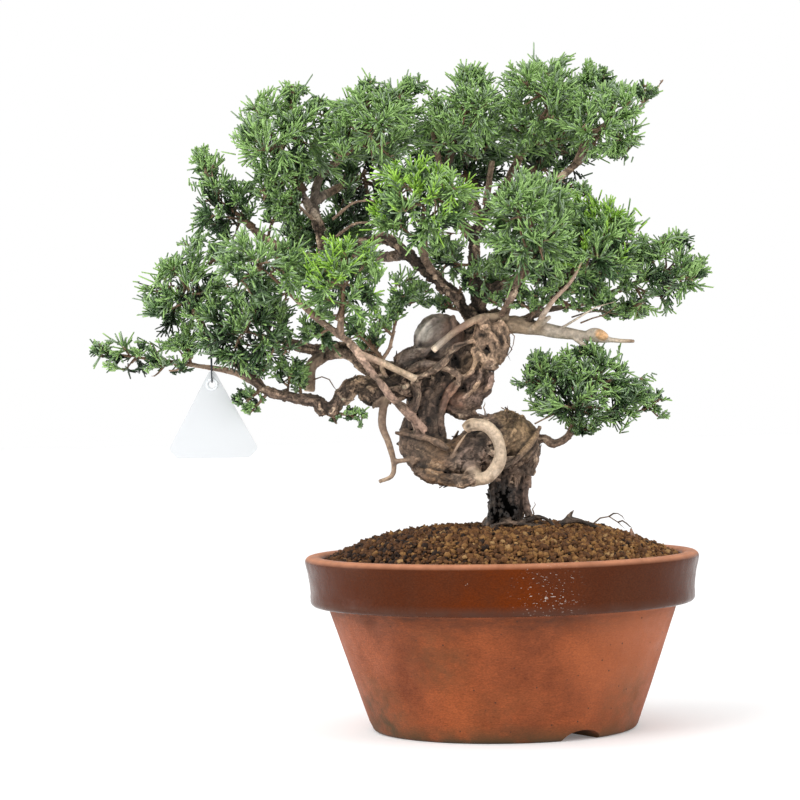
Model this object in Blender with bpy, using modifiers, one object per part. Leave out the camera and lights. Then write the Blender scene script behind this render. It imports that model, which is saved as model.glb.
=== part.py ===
"""Bonsai juniper with a looped trunk in a round clay pot, each sub-part as one closed solid.

The origin is the centre of the pot's flat underside, +Z is up and the front faces -Y.
Places and sizes in the tables are millimetres.
"""

import math
import random

import bmesh
import bpy
import numpy as np
from mathutils import Matrix, Vector, noise

MM = 0.001
GAP = 0.3  # mm between two pieces that touch
MERGE = 0.002  # mm below which two corners left by a Boolean are one
WELD = 0.01  # mm, for the loose ends that a curve or a turned profile leaves
FLAT_ANGLE = math.radians(0.3)  # below which two faces are one

# Pot
POT_HEIGHT = 120
RIM_RADIUS = 135
RIM_FOOT_RADIUS = 131.5
RIM_HEIGHT = 34
RIM_ROUND = 4
SHOULDER_RADIUS = 119
SHOULDER_DROP = 4  # below the band's foot
SHOULDER_FILLET = 2
INNER_STEP = 8  # where the inside widens, above the band's foot
BASE_RADIUS = 92
BASE_ROUND = 5
WALL = 9.5
FLOOR = 10
TURNED_STEPS = 32
ROUND_STEPS = 2
CUTTER_SIDES = 24
DRAIN_COUNT = 3
DRAIN_ANGLE = -58
DRAIN_WIDTH = 30
DRAIN_RISE = 7
DRAIN_HOLE_RADIUS = 7
DRAIN_HOLE_PLACE = 35

# Soil
SOIL_EDGE = 113
SOIL_PEAK = 139
SOIL_FOOT = 136  # level of the trunk's flat cut
SOIL_FOOT_RADIUS = 24
SOIL_RINGS = 6
SOIL_UNEVEN = 2
SOIL_LUMP = 30
SOIL_HEAP = 3.5  # a rise to the right of the trunk
SOIL_HEAP_PLACE = (48, 8)
SOIL_HEAP_RADIUS = 34

# Trunk: x, y, z and radius at each station, from below the soil to the fork
TRUNK = (
    (4, 0, 128, 15.5),
    (5, 0, 156, 13.7),
    (8, 2, 173, 15),
    (11, 1, 190, 17.5),
    (5, -3, 200, 17),
    (-8, -12, 197, 16),
    (-24, -18, 186, 15.5),
    (-40, -18, 183, 16.5),
    (-53, -14, 194, 15.5),
    (-53, -8, 209, 14),
    (-49, -2, 223, 14),
    (-42, 2, 236, 16),
    (-29, 4, 247, 19),
    (-15, 4, 261, 17),
    (-6, 4, 274, 13),
)
# Swellings fused into the trunk: place and half widths
SWELLINGS = {
    "knee": ((14, 0, 197), (14, 15, 15)),
    "root_right": ((13, -5, 138), (11, 6, 8)),
    "root_front": ((2, -12, 138), (7, 11, 7)),
    "root_back": ((-4, 12, 138), (9, 9, 8)),
    "grey_bulge": ((-39, -6, 270), (17, 13, 15)),
    "shoulder": ((-57, -6, 250), (12, 10, 8)),
    "burr": ((-1, -8, 264), (13, 12, 18)),
    "low_burr": ((-15, -2, 237), (12, 12, 12)),
    "window_lump": ((-24, -4, 225), (14, 10, 9)),
    "fork": ((-3, 2, 278), (13, 12, 10)),
}
TRUNK_STEP = 4
TRUNK_SIDES = 12
TRUNK_VOXEL = 2.2
TRUNK_TRIANGLES = 1200
BARK_SWELL = 2.6
BARK_LUMP = 14  # size of a lump in the bark

# Foliage masses: centre, half widths and the number of side twigs
MASSES = {
    "finger_mass": ((-249, -4, 259), (30, 16, 14), 5),
    "far_left_mass": ((-213, -14, 301), (34, 30, 32), 6),
    "low_left_mass": ((-170, -24, 274), (40, 38, 38), 6),
    "front_left_mass": ((-156, -60, 314), (34, 34, 29), 6),
    "centre_left_mass": ((-103, -72, 304), (35, 34, 34), 6),
    "left_shoot_mass": ((-188, 8, 365), (26, 24, 35), 5),
    "upper_left_mass": ((-148, -4, 403), (38, 33, 40), 6),
    "top_left_mass": ((-83, -16, 411), (38, 38, 31), 6),
    "top_centre_mass": ((-21, -6, 418), (29, 38, 37), 6),
    "apex_mass": ((37, 4, 425), (40, 40, 42), 7),
    "right_top_mass": ((76, -17, 413), (33, 32, 31), 6),
    "centre_mass": ((-50, -62, 353), (40, 36, 34), 6),
    "middle_mass": ((22, -58, 338), (38, 36, 40), 6),
    "right_pad_mass": ((67, -30, 328), (36, 40, 36), 7),
    "far_right_mass": ((112, -4, 309), (32, 30, 31), 6),
    "low_right_mass": ((61, -12, 230), (50, 41, 32), 7),
    "centre_tuft": ((-65, -10, 300), (15, 15, 25), 4),
    "back_left_mass": ((-120, 78, 332), (42, 38, 38), 5),
    "back_upper_left_mass": ((-92, 64, 386), (42, 38, 42), 5),
    "back_top_mass": ((-20, 74, 400), (42, 38, 40), 5),
    "back_right_top_mass": ((44, 68, 401), (36, 38, 37), 5),
    "back_right_mass": ((52, 72, 329), (41, 38, 36), 5),
}

# Boughs and dead stubs: what one grows from and at which share of its length, the places that it
# passes, the mass at its tip or the tip itself, and its radius at both ends
BOUGHS = {
    "apex_bough": {
        "root": ("trunk", 0.97),
        "via": [(-13, 8, 297), (-15, 14, 316), (-14, 20, 336), (-4, 24, 357), (9, 23, 376)],
        "carries": "apex_mass",
        "thick": (10.5, 3.6),
    },
    "left_upright_bough": {
        "root": (-109, 19, 316),
        "via": [(-119, 15, 336), (-123, 10, 351)],
        "carries": "upper_left_mass",
        "thick": (6.5, 4.4),
    },
    "left_arch_bough": {
        "root": ("trunk", 0.98),
        "via": [(-29, -4, 297), (-46, -8, 312), (-61, -6, 326), (-75, 2, 337), (-92, 12, 335)],
        "tip": (-113, 17, 328),
        "thick": (6.6, 5.4),
    },
    "left_fork_bough": {
        "root": ("left_upright_bough", 0.5),
        "via": [(-125, 14, 366), (-120, 14, 381)],
        "carries": "top_left_mass",
        "thick": (5.2, 3.2),
    },
    "outer_left_bough": {
        "root": ("left_upright_bough", 0.12),
        "via": [(-135, 16, 327), (-153, 13, 335)],
        "carries": "left_shoot_mass",
        "thick": (4.2, 3),
    },
    "right_top_bough": {
        "root": ("apex_bough", 0.74),
        "via": [(25, 14, 365), (46, 6, 377), (59, 2, 388), (73, -2, 406), (88, -4, 416), (103, -6, 426)],
        "tip": (117, -8, 442),
        "thick": (5.2, 0.9),
    },
    "top_bough": {
        "root": ("apex_bough", 0.5),
        "via": [(-29, 26, 361), (-35, 19, 380)],
        "carries": "top_centre_mass",
        "thick": (5, 3.4),
    },
    "centre_spur": {
        "root": ("left_arch_bough", 0.36),
        "via": [(-49, -20, 322)],
        "carries": "centre_mass",
        "thick": (3.6, 2.6),
    },
    "right_top_spur": {
        "root": ("right_top_bough", 0.45),
        "via": [(60, -13, 396)],
        "carries": "right_top_mass",
        "enters": 0.62,
        "thick": (2.8, 2.2),
    },
    "low_left_bough": {
        "root": ("trunk", 0.8),
        "via": [(-73, -12, 234), (-87, -16, 233), (-98, -18, 237), (-107, -20, 229)],
        "tip": (-115, -22, 217),
        "thick": (11.5, 4.6),
        "knob": ((-84, -15, 232), (13, 11, 11)),
    },
    "far_left_bough": {
        "root": (-118, -22, 217.5),
        "via": [(-124, -20, 226), (-140, -20, 229), (-157, -18, 233), (-177, -14, 252), (-195, -12, 266)],
        "carries": "far_left_mass",
        "enters": 0.7,
        "thick": (4.8, 2.6),
    },
    "finger_twig": {
        "root": ("far_left_bough", 0.42),
        "via": [(-178, -6, 246), (-199, -1, 251)],
        "carries": "finger_mass",
        "thick": (2.7, 1.6),
    },
    "sloping_bough": {
        "root": ("trunk", 0.6),
        "via": [(-58, -36, 212), (-71, -46, 225), (-87, -52, 246), (-100, -54, 264), (-120, -52, 280)],
        "carries": "front_left_mass",
        "thick": (4.4, 2.6),
    },
    "sloping_stub": {
        "root": ("sloping_bough", 0.62),
        "via": [(-81, -47, 252)],
        "tip": (-57, -36, 240),
        "thick": (3.3, 3.5),
    },
    "centre_left_spur": {
        "root": ("sloping_bough", 0.74),
        "via": [],
        "carries": "centre_left_mass",
        "enters": 0.72,
        "thick": (2.8, 2.1),
    },
    "rear_left_bough": {
        "root": ("trunk", 0.84),
        "via": [(-73, 14, 246), (-91, 14, 256), (-108, 10, 263), (-125, 4, 262)],
        "carries": "low_left_mass",
        "enters": 0.75,
        "thick": (7.6, 3.4),
    },
    "rear_left_stub": {
        "root": ("rear_left_bough", 0.7),
        "via": [(-129, 3, 249)],
        "tip": (-130, 2, 233),
        "thick": (5.5, 4.8),
    },
    "hanging_jin": {
        "root": ("low_left_bough", 0.42),
        "via": [(-79, -20, 221), (-80, -22, 209), (-76, -22, 197), (-73, -22, 185), (-74, -24, 175)],
        "tip": (-83, -28, 171),
        "thick": (4.8, 2.2),
    },
    "curl_jin": {
        "root": ("trunk", 0.46),
        "via": [(-15, -42, 172), (-5, -44, 178), (-1, -44, 189), (-4, -43, 201), (-12, -41, 208)],
        "tip": (-21, -35, 208),
        "thick": (5.8, 4.5),
        "curled": True,
    },
    "cross_jin": {
        "root": (6, -6, 282),
        "via": [(-14, -22, 280), (-29, -26, 272)],
        "tip": (-45, -27, 259),
        "thick": (3.6, 3.1),
    },
    "right_dead_bough": {
        "root": ("trunk", 0.99),
        "via": [(12, -4, 276), (38, -8, 271), (61, -12, 267), (78, -14, 264)],
        "tip": (93, -14, 263),
        "thick": (7, 1.9),
    },
    "right_bough": {
        "root": ("right_dead_bough", 0.2),
        "via": [(34, 10, 286), (59, 10, 290)],
        "carries": "far_right_mass",
        "thick": (4.2, 2.5),
    },
    "right_pad_spur": {
        "root": ("right_dead_bough", 0.27),
        "via": [(35, -15, 294)],
        "carries": "right_pad_mass",
        "thick": (3.5, 2.6),
    },
    "middle_spur": {
        "root": ("right_dead_bough", 0.1),
        "via": [(9, -14, 293)],
        "carries": "middle_mass",
        "thick": (3.6, 2.6),
    },
    "low_right_twig": {
        "root": ("trunk", 0.25),
        "via": [(30, -1, 198), (38, -2, 194), (47, -4, 199)],
        "carries": "low_right_mass",
        "enters": 0.8,
        "thick": (3.6, 2.6),
    },
    "tuft_twig": {
        "root": ("low_left_bough", 0.4),
        "via": [(-80, -12, 250), (-74, -12, 262)],
        "carries": "centre_tuft",
        "thick": (1.7, 1.3),
    },
    "back_left_bough": {
        "root": ("left_arch_bough", 0.55),
        "via": [(-72, 22, 326)],
        "carries": "back_left_mass",
        "enters": 0.7,
        "thick": (4.4, 3),
    },
    "back_upper_left_bough": {
        "root": ("left_fork_bough", 0.35),
        "via": [],
        "carries": "back_upper_left_mass",
        "enters": 0.7,
        "thick": (3.8, 2.8),
    },
    "back_top_bough": {
        "root": ("apex_bough", 0.62),
        "via": [(-13, 38, 362)],
        "carries": "back_top_mass",
        "enters": 0.8,
        "thick": (4.4, 3),
    },
    "back_right_top_bough": {
        "root": ("apex_bough", 0.82),
        "via": [(20, 34, 374)],
        "carries": "back_right_top_mass",
        "enters": 0.8,
        "thick": (3.8, 2.8),
    },
    "back_right_bough": {
        "root": ("apex_bough", 0.22),
        "via": [(8, 22, 306)],
        "carries": "back_right_mass",
        "enters": 0.8,
        "thick": (4.6, 3),
    },
}
STATION_STEP = 13  # mm between the rings of a bough
FINE_STEP = 6  # and of a curled one
STOUT_RADIUS = 6  # above which a bough has eight sides, and six below
CLEARANCE = 1.25 * GAP  # by which a bough is cut clear, as a grown surface thins in its corners
MASS_ENTRY = 0.92  # depth at which a bough gives way to its mass's stem

# Twigs and sprays
TWIG_SIDES = 3
TWIG_RADIUS = 1.6
TWIG_TIP_RADIUS = 1.1
TWIG_LEAD = 0.35  # how far back along the stem a twig starts, as a share of the stem
MOST_BACKWARD = -0.55  # cosine between a side twig and its stem, at the least
STEM_FOOT = 5  # mm that a stem runs straight on from its bough
STEM_SHARE = 0.85  # of the room along its way
STEM_LONGEST = 1.45  # times the way to the mass's centre
STEM_THICK = 0.75  # of its bough's tip
STEM_ENDS = 0.08  # share of the stem at each end that bears no twig
TWIG_FOOT = 3  # mm of a twig that may lie beside a limb
TWIG_SHARE = 0.35  # of the room along its way, at least
FORK_PLACE = 0.55  # share of a twig where its second spray stands
UPWARD = 0.12
VIEW_WAY = (0.2, -0.9, 0.3)  # forks spread across this way, so that they show from the front
GOLDEN_ANGLE = 137.5
SPRAY_THICK = 2.4
SPRAY_LENGTH = 36
SPRAY_SIZES = (1, 0.82, 0.66, 0.5, 0.38)  # of the full length, tried in turn
SPRAY_OUT = 0.8  # share of a spray that reaches past its twig
SPRAY_TILT = 42
FORKED_EVERY = 3  # twigs, of which one has a second spray
# Half of a spray's outline from its root to its middle tip, across and along in shares of its length
SPRAY_OUTLINE = ((0.04, 0), (0.36, 0.72), (0.1, 0.48), (0, 1))
BLADE_SHARES = (1, 0.8, 0.6, 0.4, 0.25)  # of a blade's points, where it is tried for room
SHORTEST_TWIG = 12
LONGEST_TWIG = 70
REACH_STEP = 1.5  # mm between the places that are tried along a twig
MASS_MARGIN = 0.12  # of a half width, between two masses
LIMB_MARGIN = 1.2  # mm between a twig and a limb
OBSTACLE_STEP = 2  # mm between the balls that a limb is tried as
SEEDS_TRIED = 5

# Plant label
TAG_X = -196
TAG_Y = -8
TAG_TOP = 248
TAG_HEIGHT = 59
TAG_WIDTH = 61
TAG_THICK = 0.8
TAG_APEX_WIDTH = 5
TAG_CHAMFER = 6
TAG_HOLE_DROP = 9
TAG_HOLE_RADIUS = 2.4
TAG_HOLE_STEPS = 20
TAG_ROOM_STEP = 5  # mm between the balls that keep foliage off it
TIE_RADIUS = 0.5
TIE_TURN = 6  # points round the bough, and through the hole
TIE_SLACK = 1.07


def material(name, colour, rough, metallic=0.0):
    made = bpy.data.materials.new(name)
    made.use_nodes = True
    shader = made.node_tree.nodes["Principled BSDF"]
    shader.inputs["Base Color"].default_value = (*colour, 1)
    shader.inputs["Roughness"].default_value = rough
    shader.inputs["Metallic"].default_value = metallic
    return made


def new_object(name, mesh, group):
    piece = bpy.data.objects.new(name, mesh)
    group.objects.link(piece)
    return piece


def evaluated_mesh(piece):
    """The object's mesh with its modifiers applied."""
    bpy.context.view_layer.update()
    graph = bpy.context.evaluated_depsgraph_get()
    return bpy.data.meshes.new_from_object(piece.evaluated_get(graph))


def apply_modifiers(piece):
    mesh = evaluated_mesh(piece)
    old = piece.data
    piece.modifiers.clear()
    piece.data = mesh
    if isinstance(old, bpy.types.Mesh):
        bpy.data.meshes.remove(old)


def edit(mesh, change):
    work = bmesh.new()
    work.from_mesh(mesh)
    change(work)
    work.to_mesh(mesh)
    work.free()


def keep_largest_body(work):
    """Delete loose scraps and leave the body with the most faces."""
    bodies = []
    waiting = set(work.verts)
    while waiting:
        body = set()
        front = [waiting.pop()]
        while front:
            vert = front.pop()
            body.add(vert)
            for edge in vert.link_edges:
                other = edge.other_vert(vert)
                if other in waiting:
                    waiting.remove(other)
                    front.append(other)
        bodies.append(body)
    bodies.sort(key=len)
    for scrap in bodies[:-1]:
        bmesh.ops.delete(work, geom=list(scrap), context="VERTS")


def clean(work):
    """Merge the faces that a Boolean split and drop the loose scraps it left."""
    bmesh.ops.remove_doubles(work, verts=work.verts, dist=MERGE * MM)
    keep_largest_body(work)
    bmesh.ops.dissolve_limit(work, angle_limit=FLAT_ANGLE, verts=work.verts, edges=work.edges)
    bmesh.ops.triangulate(work, faces=work.faces)


def smooth_stations(stations, step):
    """A Catmull-Rom line through the stations, with a point about every step millimetres."""
    points = [np.array(s, float) for s in stations]
    points = [2 * points[0] - points[1], *points, 2 * points[-1] - points[-2]]
    line = []
    for a, b, c, d in zip(points, points[1:], points[2:], points[3:]):
        count = max(1, round(float(np.linalg.norm(c[:3] - b[:3])) / step))
        for k in range(count):
            t = k / count
            square = 2 * a - 5 * b + 4 * c - d
            cube = 3 * b - a - 3 * c + d
            line.append(0.5 * (2 * b + (c - a) * t + square * t**2 + cube * t**3))
    line.append(points[-2])
    return np.array(line)


def tube(name, line, sides, group, cyclic=False):
    """A curve's round tube through x, y, z and radius, as a mesh with welded caps."""
    curve = bpy.data.curves.new(name + "_route", "CURVE")
    curve.dimensions = "3D"
    curve.bevel_depth = MM  # a point's radius is then in millimetres
    curve.bevel_resolution = (sides - 4) // 2
    curve.use_fill_caps = not cyclic
    spline = curve.splines.new("POLY")
    spline.points.add(len(line) - 1)
    for point, (x, y, z, radius) in zip(spline.points, line):
        point.co = (x * MM, y * MM, z * MM, 1)
        point.radius = radius
    spline.use_cyclic_u = cyclic
    route = new_object(name + "_route", curve, group)
    mesh = evaluated_mesh(route)
    edit(mesh, lambda work: bmesh.ops.remove_doubles(work, verts=work.verts, dist=WELD * MM))
    piece = new_object(name, mesh, group)
    piece.matrix_world = route.matrix_world
    bpy.data.objects.remove(route)
    bpy.data.curves.remove(curve)
    return piece


def flat_piece(name, rings, thick, group):
    """A mesh of flat outlines in the XY plane with their holes, from a filled 2D curve."""
    curve = bpy.data.curves.new(name + "_outline", "CURVE")
    curve.dimensions = "2D"
    curve.fill_mode = "BOTH"
    curve.extrude = thick / 2
    for ring in rings:
        spline = curve.splines.new("POLY")
        spline.points.add(len(ring) - 1)
        for point, (x, y) in zip(spline.points, ring):
            point.co = (x, y, 0, 1)
        spline.use_cyclic_u = True
    outline = new_object(name + "_outline", curve, group)
    mesh = evaluated_mesh(outline)
    bpy.data.objects.remove(outline)
    bpy.data.curves.remove(curve)
    edit(mesh, lambda work: bmesh.ops.remove_doubles(work, verts=work.verts, dist=WELD * MM))
    return mesh


def boolean(piece, other, operation):
    cut = piece.modifiers.new(operation.lower(), "BOOLEAN")
    cut.operation = operation
    cut.object = other


def as_cutter(piece, name, cutters):
    """Keep a piece out of the model, in the cutters' collection."""
    piece.name = name
    for owner in piece.users_collection:
        owner.objects.unlink(piece)
    cutters.objects.link(piece)
    piece.hide_render = True
    piece.display_type = "WIRE"
    return piece


def arc(centre_r, centre_z, radius, start, end, count):
    """Points of a round edge in a turned profile, angles in degrees from the +X side."""
    angles = [math.radians(start + (end - start) * k / count) for k in range(count + 1)]
    return [(centre_r + radius * math.cos(a), centre_z + radius * math.sin(a)) for a in angles]


def turned(name, profile, steps, group):
    """A profile of radius and height, inner side first, turned about the Z axis."""
    mesh = bpy.data.meshes.new(name)
    verts = [(r * MM, 0, z * MM) for r, z in profile]
    mesh.from_pydata(verts, [(k, k + 1) for k in range(len(verts) - 1)], [])
    piece = new_object(name, mesh, group)
    screw = piece.modifiers.new("turn", "SCREW")
    screw.steps = steps
    screw.render_steps = steps
    screw.use_merge_vertices = True
    screw.merge_threshold = WELD * MM
    apply_modifiers(piece)
    return piece


def inner_wall(inset):
    """Radius and height of the pot's inside, floor first, moved in by the inset."""
    rim_foot = POT_HEIGHT - RIM_HEIGHT
    return [
        (BASE_RADIUS - WALL - inset, FLOOR + inset),
        (SHOULDER_RADIUS - WALL - inset, rim_foot - SHOULDER_DROP + inset),
        (RIM_FOOT_RADIUS - WALL - inset, rim_foot + INNER_STEP + inset),
    ]


def make_pot(parts, cutters):
    """Turned clay pot with a band under its lip and arched drain grooves under its floor."""
    rim_foot = POT_HEIGHT - RIM_HEIGHT
    profile = [(0, FLOOR), *inner_wall(0)]
    lip = POT_HEIGHT - RIM_ROUND
    profile += arc(RIM_RADIUS - WALL + RIM_ROUND / 2, lip, RIM_ROUND, 170, 90, ROUND_STEPS)
    profile += arc(RIM_RADIUS - RIM_ROUND, lip, RIM_ROUND, 90, 0, ROUND_STEPS)
    profile += arc(RIM_FOOT_RADIUS - RIM_ROUND, rim_foot + RIM_ROUND, RIM_ROUND, 0, -90, ROUND_STEPS)
    profile += [(SHOULDER_RADIUS + SHOULDER_FILLET, rim_foot - SHOULDER_FILLET / 2)]
    profile += [(SHOULDER_RADIUS, rim_foot - SHOULDER_DROP)]
    profile += arc(BASE_RADIUS - BASE_ROUND, BASE_ROUND, BASE_ROUND, -15, -90, ROUND_STEPS)
    profile += [(0, 0)]
    pot = turned("pot", profile, TURNED_STEPS, parts)
    for k in range(DRAIN_COUNT):
        angle = math.radians(DRAIN_ANGLE + 360 * k / DRAIN_COUNT)
        outward = Vector((math.cos(angle), math.sin(angle), 0))
        bpy.ops.mesh.primitive_cylinder_add(vertices=CUTTER_SIDES, radius=1, depth=1)
        groove = as_cutter(bpy.context.object, f"groove_cutter_{k}", cutters)
        length = BASE_RADIUS + WALL - DRAIN_HOLE_PLACE
        groove.matrix_world = (
            Matrix.Translation(outward * (DRAIN_HOLE_PLACE + length / 2) * MM)
            @ Matrix.Rotation(angle, 4, "Z")
            @ Matrix.Rotation(math.pi / 2, 4, "Y")
            @ Matrix.Diagonal((DRAIN_RISE * MM, DRAIN_WIDTH / 2 * MM, length * MM, 1))
        )
        bpy.ops.mesh.primitive_cylinder_add(
            vertices=CUTTER_SIDES,
            radius=DRAIN_HOLE_RADIUS * MM,
            depth=3 * FLOOR * MM,
            location=outward * DRAIN_HOLE_PLACE * MM,
        )
        hole = as_cutter(bpy.context.object, f"drain_cutter_{k}", cutters)
        boolean(pot, groove, "DIFFERENCE")
        boolean(pot, hole, "DIFFERENCE")
    apply_modifiers(pot)
    edit(pot.data, clean)
    return pot


def soil_height(x, y):
    """Height of the mound at a place: a dome that is higher behind and to the right of the trunk."""
    out = min(1.0, math.hypot(x, y) / (RIM_RADIUS - WALL))
    dome = SOIL_EDGE + (SOIL_PEAK - SOIL_EDGE) * math.cos(out**1.6 * math.pi / 2) ** 0.8
    uneven = SOIL_UNEVEN * (noise.noise(Vector((x, y, 0)) / SOIL_LUMP) + x / RIM_RADIUS)
    heap = SOIL_HEAP * math.exp(-((math.dist((x, y), SOIL_HEAP_PLACE) / SOIL_HEAP_RADIUS) ** 2))
    return dome + (uneven + heap) * (1 - out**3)


def make_soil(parts, cutters):
    """Mound of soil that fills the pot, with a flat seat under the trunk."""
    edge = RIM_FOOT_RADIUS - WALL + GAP
    top = [(edge * k / SOIL_RINGS, SOIL_EDGE) for k in range(SOIL_RINGS + 1)]
    profile = [*top, *reversed(inner_wall(GAP)), (0, FLOOR + GAP)]
    soil = turned("soil", profile, TURNED_STEPS // 2, parts)
    for vert in soil.data.vertices:
        if vert.co.z > (SOIL_EDGE - 0.1) * MM:
            vert.co.z = soil_height(vert.co.x / MM, vert.co.y / MM) * MM
    x, y = TRUNK[0][:2]
    bpy.ops.mesh.primitive_cylinder_add(
        vertices=CUTTER_SIDES,
        radius=SOIL_FOOT_RADIUS * MM,
        depth=SOIL_FOOT_RADIUS * MM,
        location=(x * MM, y * MM, (SOIL_FOOT - GAP + SOIL_FOOT_RADIUS / 2) * MM),
    )
    boolean(soil, as_cutter(bpy.context.object, "trunk_seat_cutter", cutters), "DIFFERENCE")
    apply_modifiers(soil)
    edit(soil.data, clean)
    return soil


def make_trunk(parts):
    """Looped trunk with its swellings fused in, cut flat at the soil and ending at the fork."""
    trunk = tube("trunk", smooth_stations(TRUNK, TRUNK_STEP), TRUNK_SIDES, parts)
    work = bmesh.new()
    work.from_mesh(trunk.data)
    for place, half in SWELLINGS.values():
        matrix = Matrix.Translation(Vector(place) * MM) @ Matrix.Diagonal((*(Vector(half) * MM), 1))
        bmesh.ops.create_icosphere(work, subdivisions=3, radius=1, matrix=matrix)
    work.to_mesh(trunk.data)
    work.free()
    fuse = trunk.modifiers.new("fuse", "REMESH")
    fuse.mode = "VOXEL"
    fuse.voxel_size = TRUNK_VOXEL * MM
    soften = trunk.modifiers.new("soften", "SMOOTH")
    soften.factor = 0.5
    soften.iterations = 2
    apply_modifiers(trunk)
    for vert in trunk.data.vertices:
        place = vert.co / (BARK_LUMP * MM)
        vert.co += vert.normal * noise.noise(place) * BARK_SWELL * MM
    thin = trunk.modifiers.new("thin", "DECIMATE")
    thin.ratio = TRUNK_TRIANGLES / (2 * len(trunk.data.polygons))
    apply_modifiers(trunk)

    def cut_flat(work):
        level = Vector((0, 0, SOIL_FOOT * MM))
        everything = [*work.verts, *work.edges, *work.faces]
        bmesh.ops.bisect_plane(work, geom=everything, plane_co=level, plane_no=(0, 0, 1), clear_inner=True)
        rim = [edge for edge in work.edges if edge.is_boundary]
        bmesh.ops.holes_fill(work, edges=rim)
        bmesh.ops.triangulate(work, faces=work.faces)
        clean(work)

    edit(trunk.data, cut_flat)
    return trunk


def grown_copy(piece, distance, group):
    """The piece with its surface moved out, to cut its neighbour clear of it."""
    mesh = piece.data.copy()
    grown = new_object(piece.name + "_grown", mesh, group)
    moves = [vert.normal * distance * MM for vert in mesh.vertices]
    for vert, move in zip(mesh.vertices, moves):
        vert.co += move
    return grown


def clear_of(piece, other, group):
    cutter = grown_copy(other, CLEARANCE, group)
    boolean(piece, cutter, "DIFFERENCE")
    apply_modifiers(piece)
    edit(piece.data, clean)
    bpy.data.objects.remove(cutter)


def boxes_meet(piece, other):
    """Whether the boxes round two pieces' corners overlap."""
    a, b = (np.array([vert.co for vert in p.data.vertices]) for p in (piece, other))
    return bool(np.all(a.min(0) < b.max(0) + GAP * MM) and np.all(b.min(0) < a.max(0) + GAP * MM))


def share_of(line, share):
    """Place at a share of the line's length."""
    steps = np.linalg.norm(np.diff(line[:, :3], axis=0), axis=1)
    along = np.concatenate([[0], np.cumsum(steps)])
    return tuple(float(np.interp(share * along[-1], along, line[:, k])) for k in range(3))


def mass_depth(name, place):
    """0 at a mass's centre and 1 on its outer surface."""
    centre, half, _ = MASSES[name]
    return math.sqrt(sum(((p - c) / h) ** 2 for p, c, h in zip(place, centre, half)))


def entry_place(name, start, depth):
    """Where the way from the start to the mass's centre comes within its depth."""
    centre = np.array(MASSES[name][0], float)
    start = np.array(start, float)
    outside = mass_depth(name, start)
    if outside <= depth:
        return tuple(start + 0.3 * (centre - start))
    return tuple(centre + (start - centre) * depth / outside)


def bough_line(spec, lines):
    """The bough's smoothed line from its root to its tip."""
    root = spec["root"]
    if isinstance(root[0], str):
        root = share_of(lines[root[0]], root[1])
    stops = [root, *spec["via"]]
    if "tip" in spec:
        stops.append(spec["tip"])
    else:
        stops.append(entry_place(spec["carries"], stops[-1], spec.get("enters", MASS_ENTRY)))
    first, last = spec["thick"]
    legs = [0.0]
    for a, b in zip(stops, stops[1:]):
        legs.append(legs[-1] + math.dist(a, b))
    stations = [(*stop, first + (last - first) * leg / legs[-1]) for stop, leg in zip(stops, legs)]
    return smooth_stations(stations, FINE_STEP if spec.get("curled") else STATION_STEP)


def make_boughs(parts, trunk):
    """Every bough and stub, cut clear of what it grows from."""
    lines = {"trunk": smooth_stations(TRUNK, TRUNK_STEP)}
    made = {"trunk": trunk}
    for name, spec in BOUGHS.items():
        line = bough_line(spec, lines)
        lines[name] = line
        sides = 8 if spec["thick"][0] > STOUT_RADIUS else 6
        piece = tube(name, line, sides, parts)
        if "knob" in spec:
            place, half = spec["knob"]
            bpy.ops.mesh.primitive_ico_sphere_add(subdivisions=2, radius=1)
            knob = bpy.context.object
            knob.matrix_world = Matrix.Translation(Vector(place) * MM) @ Matrix.Diagonal(
                (*(Vector(half) * MM), 1)
            )
            boolean(piece, knob, "UNION")
            apply_modifiers(piece)
            bpy.data.objects.remove(knob)
        for other in made.values():
            if boxes_meet(piece, other):
                clear_of(piece, other, parts)
        made[name] = piece
    return made, lines


def unit(way):
    return way / np.linalg.norm(way)


def aimed(start, end):
    """Matrix that stands the Z axis on the way from start to end, at its middle."""
    start, end = Vector(start), Vector(end)
    turn = (end - start).to_track_quat("Z", "Y").to_matrix().to_4x4()
    return Matrix.Translation((start + end) / 2 * MM) @ turn


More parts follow.
